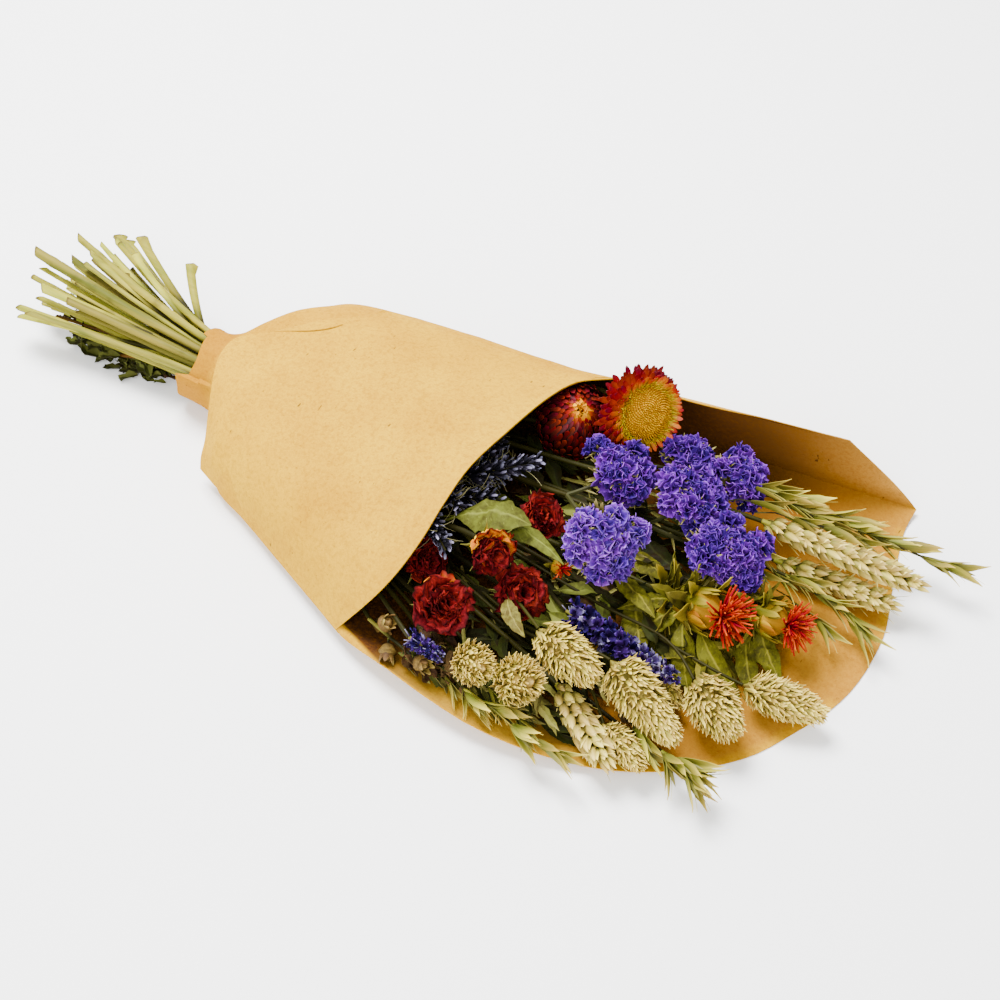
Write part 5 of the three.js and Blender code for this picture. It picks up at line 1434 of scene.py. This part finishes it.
class BOUQUET_OT_lavender(bpy.types.Operator):
    """Four lavender spikes of downy slate-violet calyces"""

    bl_idname = "bouquet.lavender"
    bl_label = "Lavender"

    def execute(self, context):
        shapes = (
            grain_shape(5.2, 1.05, 1.05, 7, 5, 0.55),
            blade(3.2, ((0, 0.4), (0.6, 0.9), (1, 0.3)), 2, 3, crumple=0.6, grain=1.2, thick=0.15),
            fibre(15, 0.16, 0.45, 3, 5),
        )
        for number, (name, (base, aim, size, length)) in enumerate(LAVENDERS.items()):
            draw = random.Random(90 + number)
            head, spikes, stem = Head(base, aim), Bunch(draw), Bunch()
            self.spike(spikes, shapes, head, size, length)
            line = add_stem(stem, name + "_stem", 1.0, base, "dark stem", 94 + number)
            for k in range(3):
                sideways = head.out(k * 2.1 + number) * 9
                sideways[2] = -abs(sideways[2]) * 0.8
                foot = head.at(draw.uniform(-10, 4)) + sideways
                aside = Head(foot, head.axis + unit(sideways) * (0.35, 0.35, 0.1))
                self.spike(spikes, shapes, aside, size * 0.85, length * draw.uniform(0.55, 0.8))
                start = point_on(line, base[0] - 45)
                path = [start, (start + foot) / 2 + sideways * 0.1, foot]
                stem.put(tube(path, (0.7, 0.7, 0.6), 5), "dark stem")
            spikes.make(name + "_calyces", name, slot="lavender_grey")
            stem.make(name + "_stalk", name + "_stem", slot="dry_stem")
        return {"FINISHED"}

    def spike(self, bunch, shapes, head, size, length):
        """Whorls of calyces, some with a faded petal, and a few dry wisps between them."""
        calyx, petal, wisp = shapes
        draw = bunch.draw
        bunch.core(head, (0, length * 0.5, length * 0.96), (0.6, 0.5, 0.35), "dark stem", 5)
        whorls = round(length / 3.6)
        for w in range(whorls):
            t = (w + 0.4) / whorls
            many = 12 if t < 0.85 else 7
            for k in range(many):
                turn = math.tau * (k + 0.5 * w) / many + draw.uniform(-0.3, 0.3)
                out = head.out(turn)
                direction = head.axis + out * draw.uniform(0.35, 1.3)
                grow = size / 5.4 * draw.uniform(0.7, 1.1) * (1 - 0.25 * t**3)
                root = head.at(length * t * 0.9 + draw.uniform(-1, 1), size * 0.2, turn)
                bunch.lay(calyx, "slate calyx", root, direction, out, grow, grow)
                if draw.random() < 0.45:
                    tip = root + unit(direction) * 4.6 * grow
                    bunch.lay(petal, "faded corolla", tip, direction + shake(draw, 0.7), out, 0.9, 0.9)
        for _ in range(12):
            turn = draw.uniform(0, 6.3)
            bunch.lay(wisp, "pale wisp", head.at(length * draw.uniform(-0.1, 0.7), 1.0, turn),
                      head.axis + head.out(turn) * draw.uniform(0.2, 0.7),
                      head.out(turn + draw.uniform(-1, 1)), 1, draw.uniform(0.4, 0.9))


# ---------------------------------------------------------------- ears and seed heads


class BOUQUET_OT_canary_grass(bpy.types.Operator):
    """Eight canary grass heads of overlapping papery husks"""

    bl_idname = "bouquet.canary_grass"
    bl_label = "Canary grass"

    def execute(self, context):
        husk_long = 6.8
        outline = ((0, 0.5), (0.3, 0.95), (0.6, 1.0), (0.85, 0.5), (1, 0.05))
        husks = blades((-0.16, -0.04, 0.08, 0.22, 0.02), husk_long, outline, 2, 4, fold=0.8,
                       thick=0.16, crumple=0.7, grain=2)
        for number, (name, row) in enumerate(CANARY_GRASSES.items()):
            base, aim, size, length, fullness = row
            draw = random.Random(100 + number)
            head, body = Head(base, aim), Bunch(draw)
            line = add_stem(body, name, 1.1, base, "dry stem", 104 + number)
            core = grain_shape(length * 0.92, size * 0.62, size * 0.62, 10, 7, 0.5)
            body.lay(core, "canary husk", head.at(0), head.axis, head.side, tone=0.1)
            # A full head measures 400 square mm; smaller ones have fewer husks.
            total = round(context.scene.bouquet.husks_per_head * (size * length / 400) ** 0.85)
            for _, t, turn in spiral(total):
                rise = 0.10 + 0.86 * t**0.95
                swell = math.sin(math.pi * min(0.97, rise) ** fullness) ** 0.62
                lean = lerp(0.95, 0.05, t**1.2) + draw.uniform(-0.38, 0.38)
                out = head.out(turn + draw.uniform(-0.45, 0.45))
                direction = head.axis * math.cos(lean) + out * math.sin(lean)
                reach = size * (0.1 + 0.9 * swell) * draw.uniform(0.88, 1.05)
                tip = head.at(length * rise + size * 0.12, reach, turn)
                grow = draw.uniform(0.7, 1.05) * min(1.0, 0.6 + size / 24)
                body.lay(draw.choice(husks), "canary husk", tip - direction * husk_long * grow,
                         direction, out, grow * 0.95, grow)
            add_leaves(body, name, line)
            body.make(name + "_head", name, slot="canary_husk", angle=60)
        return {"FINISHED"}


class BOUQUET_OT_wheat(bpy.types.Operator):
    """Three wheat ears of plump overlapping spikelets"""

    bl_idname = "bouquet.wheat"
    bl_label = "Wheat"

    def execute(self, context):
        plump = grain_shape(10, 2.15, 2.1, 10, 8, 0.4, keel=0.4, bend=-0.1, beak=0.06)
        husks = blades((-0.12, -0.03, 0.05), 11.5,
                       ((0, 1.0), (0.35, 2.3), (0.7, 1.5), (0.88, 0.5), (1, 0.05)), 4, 6,
                       fold=0.5, cup=0.2, thick=0.22, crumple=0.5)
        awn = fibre(7, 0.14, 0.1)
        straw = "wheat husk"
        for number, (name, (base, aim, size, length, flat)) in enumerate(WHEATS.items()):
            draw = random.Random(110 + number)
            head, body = Head(base, aim), Bunch(draw)
            add_stem(body, name, 1.6, base, "dry stem", 114 + number)
            body.core(head, (-1, length * 0.5, length * 0.9), (1.3, 1.1, 0.6), "dry stem")
            spikelets = round(length / 3.7)
            for k in range(spikelets):
                t = (k + 0.3) / spikelets
                taper = min(1.0, 0.6 + 2.6 * t, 0.62 + 1.9 * (1 - t)) * size / 7.6
                side = math.pi * (k % 2) + flat
                for turn in (side - 1.0, side, side + 1.0):
                    out = head.out(turn)
                    root = head.at(length * t * 0.9, 1.9 * taper, turn)
                    direction = head.axis + out * draw.uniform(0.48, 0.62)
                    body.lay(plump, straw, root, direction, out, taper,
                             taper * draw.uniform(0.85, 1.0))
                    cover = head.axis + out * draw.uniform(0.6, 0.85)
                    body.lay(draw.choice(husks), straw, root - head.axis, cover, out, taper,
                             taper * 0.8)
                    wing = head.out(turn + draw.choice((-0.5, 0.5)))
                    body.lay(draw.choice(husks), straw, root, head.axis + wing * 0.55, wing,
                             taper * 0.8, taper * 0.95)
                    if draw.random() < 0.4:
                        body.lay(awn, straw, root + unit(direction) * 9 * taper,
                                 head.axis + out * 0.35, out, tone=0.7)
            for k in range(4):
                out = head.out(k * 1.57)
                body.lay(plump, straw, head.at(length * 0.9, 0.8, k * 1.57), head.axis + out * 0.2,
                         out, 0.6 * size / 7.6, 0.85 * size / 7.6)
            body.make(name + "_ear", name, slot="wheat_ear", angle=60)
        return {"FINISHED"}


class BOUQUET_OT_oats(bpy.types.Operator):
    """Four oat panicles of long papery spikelets"""

    bl_idname = "bouquet.oats"
    bl_label = "Oats"

    def execute(self, context):
        outline = ((0, 0.7), (0.18, 1.8), (0.4, 2.4), (0.65, 1.8), (0.85, 0.8), (1, 0.05))
        shapes = (
            blades((0.03, 0.08, 0.16), 24, outline, 4, 9, fold=0.42, thick=0.22, crumple=0.5, grain=5),
            grain_shape(15, 1.5, 1.3, 6, 6, 0.35, bend=0.04),
            fibre(22, 0.16, 0.2, 3, 5),
        )
        for number, (name, (base, aim, length, spikelets)) in enumerate(OATS.items()):
            draw = random.Random(120 + number)
            head, body = Head(base, aim), Bunch(draw)
            add_stem(body, name, 1.5, base, "dry stem", 124 + number)
            body.core(head, (-1, length * 0.5, length), (1.0, 0.8, 0.5), "dry stem")
            for at, turn, size, *bend in spikelets:
                lean, twist = bend or USUAL_BEND
                # Each spikelet has two smaller ones beside it.
                group = [(at, turn, size, lean, twist)]
                for _ in range(2):
                    group.append((
                        max(0, at + draw.uniform(-0.14, 0.06)), turn + draw.uniform(-1.4, 1.4),
                        size * draw.uniform(0.7, 0.92), lean * draw.uniform(0.4, 1.0),
                        draw.uniform(0, 3)))
                for a, t, s, l, w in group:
                    direction = unit(head.axis + head.out(t) * l)
                    flat = head.out(t + w)
                    flat = flat - direction * np.dot(flat, direction)
                    self.spikelet(body, shapes, head.at(length * a - 1), direction, flat, s)
            for root, direction, size in LOOSE_SPIKELETS[name]:
                root, direction = np.array(root, float), unit(direction)
                flat = np.cross(direction, (draw.uniform(-0.6, 0.6), draw.uniform(-0.6, 0.6), 1))
                self.spikelet(body, shapes, root, direction, flat, size)
                path = [root - direction * 14 - (0, 0, 4), root - direction * 5, root + direction]
                body.put(tube(path, 0.45, 5), "green twig")
            body.make(name + "_panicle", name, slot="oat_husk", angle=60)
        return {"FINISHED"}

    def spikelet(self, body, shapes, root, direction, flat, size):
        """Two glumes that part a little, with a floret and an awn between them."""
        glumes, inner, awn = shapes
        share = size / 24
        for sign in (1, -1):
            opened = unit(direction + unit(flat) * sign * OPENED)
            body.lay(body.draw.choice(glumes), "oat glume", root, opened, flat * sign, share * 1.15,
                     share)
        body.lay(inner, "oat floret", root + direction * 2, direction, flat, share, share * 1.1)
        body.lay(awn, "oat glume", root + direction * 5, direction, flat, 1, share * 0.85, 0.6)


class BOUQUET_OT_seed_capsules(bpy.types.Operator):
    """A sprig of small brown seed capsules under the near lip"""

    bl_idname = "bouquet.seed_capsules"
    bl_label = "Seed capsules"

    def execute(self, context):
        base, aim, size, length = CAPSULES
        draw = random.Random(130)
        head, body = Head(base, aim), Bunch(draw)
        add_stem(body, "seed_capsules", 1.3, base, "dark stem", 134)
        pod = grain_shape(8.4, 4.1, 4.1, 12, 8, 0.5)
        lobe = blade(5.5, ((0, 1.2), (0.6, 1.6), (1, 0.3)), 2, 4, cup=0.5, curl=-0.2, thick=0.3,
                     crumple=0.4)
        body.core(head, (-1, length * 0.5, length), (1.0, 0.9, 0.6), "dark stem")
        for k in range(5):
            reach = 0.5 if k == 4 else 3
            root = head.at(length * k / 4 - 2)
            direction = unit(head.out(k * 2.2 + 0.5) * reach + head.axis * 2.5)
            body.put(tube([root, root + direction * 4], 0.6, 5), "dark stem")
            start = root + direction * 3
            side = unit(np.cross(direction, (0.2, 0.4, 0.9)))
            body.lay(pod, "brown capsule", start, direction, side, size / 4.2)
            for j in range(6):
                a = math.tau * j / 6
                out = side * math.cos(a) + np.cross(direction, side) * math.sin(a)
                body.lay(lobe, "brown capsule", start + direction * 4.2 + out * 2.6,
                         direction + out * 0.35, out)
        body.make("seed_capsule_sprig", "seed_capsules", slot="capsule_brown", angle=60)
        return {"FINISHED"}


# ---------------------------------------------------------------- dry leaves and loose straws


def inside_wrap(point, margin):
    """Whether a point keeps clear of the paper: its two sides and the cut edge of its base."""
    x, y, _ = point
    share = (x - SHOULDER_X) / 300
    near, far = lerp(-57, -113, share), lerp(61, 108, share)
    if x > 12:
        near = np.interp(x, (12, 66, 118, 158), (-108, -110, -96, -62))
    return near + margin < y < far - margin * 1.5 and x < 160


class BOUQUET_OT_foliage(bpy.types.Operator):
    """Dry leaves and grass on the stems inside the wrap, and crushed leaves and straws in the tails"""

    bl_idname = "bouquet.foliage"
    bl_label = "Dry foliage"

    def execute(self, context):
        broad = ((0, 0.25), (0.12, 0.4), (0.3, 3.2), (0.5, 4.4), (0.75, 3.0), (0.92, 1.0), (1, 0.05))
        narrow = ((0, 0.6), (0.3, 1.1), (0.7, 0.9), (1, 0.05))
        stubby = ((0, 0.4), (0.4, 2.4), (0.8, 1.8), (1, 0.1))
        pointed = ((0, 0.3), (0.15, 1.6), (0.4, 2.6), (0.7, 1.7), (1, 0.05))
        kinds = {
            "leaves": blades((0.1, 0.3, -0.2, 0.5), 22, broad, 6, 10, fold=0.2, cup=0.3,
                             crumple=2.0, grain=6, ragged=0.25, wave=0.15),
            "grass": blades((0.05, 0.2, -0.12), 34, narrow, 2, 12, fold=0.4, crumple=1.6, grain=9),
            "crumbs": blades((0.2, -0.3, 0.5), 9, stubby, 4, 5, cup=0.6, crumple=2.2, ragged=0.6),
            "tips": blades((0.05, 0.25, -0.15), 20, pointed, 4, 8, fold=0.4, cup=0.2, crumple=1.4,
                           grain=5, thick=0.22),
        }
        draw = random.Random(140)
        for name, finish, kind, many, sizes, area in FOLIAGE:
            self.scatter(draw, kinds[kind], finish, many, sizes, area).make(name, slot="dry_stem")
        tails = Bunch()
        for finish, straws in (("dry stem", TAIL_STRAWS), ("brown stem", TAIL_TWIGS)):
            for end, width in straws:
                start = np.array((-152, NECK_Y + draw.uniform(-7, 7), NECK_Z + draw.uniform(-6, 6)))
                gate = np.array((-181, lerp(NECK_Y, end[1], 0.16), lerp(NECK_Z, end[2], 0.16)))
                gate = gate + (0, draw.uniform(-2, 2), 2)
                steps = np.linspace(0, 1, 14)
                path = arch(start, gate, np.array(end), steps[:, None])
                radii = width * np.interp(steps, (0, 0.35, 1), (0.4, 0.6, 1))
                straw = cut_straw(tube(path[::-1], radii[::-1] * 0.85, 8), path, draw)
                tails.put(straw, finish, tone=draw.random())
        tails.make("tail_straws", slot="dry_stem")
        return {"FINISHED"}

    def scatter(self, draw, shapes, finish, many, sizes, area):
        """Leaves strewn over an area, each inside the paper unless they lie in the tails."""
        bunch, placed = Bunch(draw), 0
        xs, ys, zs, heading = area
        in_wrap = xs[0] > BAND_X
        while placed < many:
            root = np.array((draw.uniform(*xs), draw.uniform(*ys), draw.uniform(*zs)))
            size = draw.uniform(*sizes)
            aim = heading + draw.uniform(-0.9, 0.9)
            direction = unit((math.cos(aim), math.sin(aim), draw.uniform(-0.3, 0.25)))
            tip = root + direction * shapes[0].points[:, 2].max() * size
            if in_wrap and not (inside_wrap(root, 3) and inside_wrap(tip, 3)):
                continue
            back = (draw.uniform(-0.6, 0.6), draw.uniform(-0.6, 0.6), -1)
            bunch.lay(draw.choice(shapes), finish, root, direction, back, size, size)
            placed += 1
        return bunch


# ---------------------------------------------------------------- floor, lights and camera


class BOUQUET_OT_stage(bpy.types.Operator):
    """Pale floor, soft studio lights and the camera"""

    bl_idname = "bouquet.stage"
    bl_label = "Stage"

    def execute(self, context):
        s = context.scene.bouquet
        clear_selection()
        bpy.ops.mesh.primitive_plane_add(size=12, location=(0, 0, -0.0002))
        floor = bpy.context.object
        floor.name = "floor"
        n = Nodes("floor", 0.9, 0.1)
        n.shader.inputs["Base Color"].default_value = tuple(s.floor_tint)
        floor.data.materials.append(n.material)
        world = bpy.data.worlds.new("studio")
        world.use_nodes = True
        background = world.node_tree.nodes["Background"]
        background.inputs["Color"].default_value = (1, 1, 1, 1)
        background.inputs["Strength"].default_value = 1.15
        context.scene.world = world
        for name, place, power, size in (
            ("key", (-0.5, 0.25, 1.25), s.key_power, 0.7),
            ("fill", (0.2, -1.2, 0.9), s.key_power * 0.45, 1.2),
        ):
            bpy.ops.object.light_add(type="AREA", location=place)
            light = bpy.context.object
            light.name = name
            light.data.energy, light.data.size = power, size
            light.rotation_euler = (-Vector(place)).to_track_quat("-Z", "Y").to_euler()
        azimuth, elevation, away = math.radians(33), math.radians(48), 0.93
        level = math.cos(elevation)
        back = Vector((math.sin(azimuth) * level, -math.cos(azimuth) * level, math.sin(elevation)))
        bpy.ops.object.camera_add(location=back * away)
        camera = bpy.context.object
        camera.rotation_euler = back.to_track_quat("Z", "Y").to_euler()
        camera.data.lens, camera.data.sensor_width, camera.data.shift_y = 70, 36, 0.02
        context.scene.camera = camera
        return {"FINISHED"}


# ---------------------------------------------------------------- panel and registration

STEPS = (
    BOUQUET_OT_stage,
    BOUQUET_OT_paper,
    BOUQUET_OT_band,
    BOUQUET_OT_strawflowers,
    BOUQUET_OT_statice,
    BOUQUET_OT_roses,
    BOUQUET_OT_larkspurs,
    BOUQUET_OT_safflowers,
    BOUQUET_OT_lavender,
    BOUQUET_OT_canary_grass,
    BOUQUET_OT_wheat,
    BOUQUET_OT_oats,
    BOUQUET_OT_seed_capsules,
    BOUQUET_OT_foliage,
)


class BOUQUET_PT_panel(bpy.types.Panel):
    """The bouquet's sizes, colours and pieces"""

    bl_label = "Bouquet"
    bl_idname = "BOUQUET_PT_panel"
    bl_space_type = "VIEW_3D"
    bl_region_type = "UI"
    bl_category = "Bouquet"

    def draw(self, context):
        for key in BouquetSettings.__annotations__:
            self.layout.prop(context.scene.bouquet, key)
        for step in STEPS:
            self.layout.operator(step.bl_idname)


def register():
    for kind in (BouquetSettings, *STEPS, BOUQUET_PT_panel):
        bpy.utils.register_class(kind)
    bpy.types.Scene.bouquet = bpy.props.PointerProperty(type=BouquetSettings)


def unregister():
    del bpy.types.Scene.bouquet
    for kind in reversed((BouquetSettings, *STEPS, BOUQUET_PT_panel)):
        bpy.utils.unregister_class(kind)


def main():
    register()
    for step in STEPS:
        group, name = step.bl_idname.split(".")
        getattr(getattr(bpy.ops, group), name)()


if __name__ == "__main__":
    main()
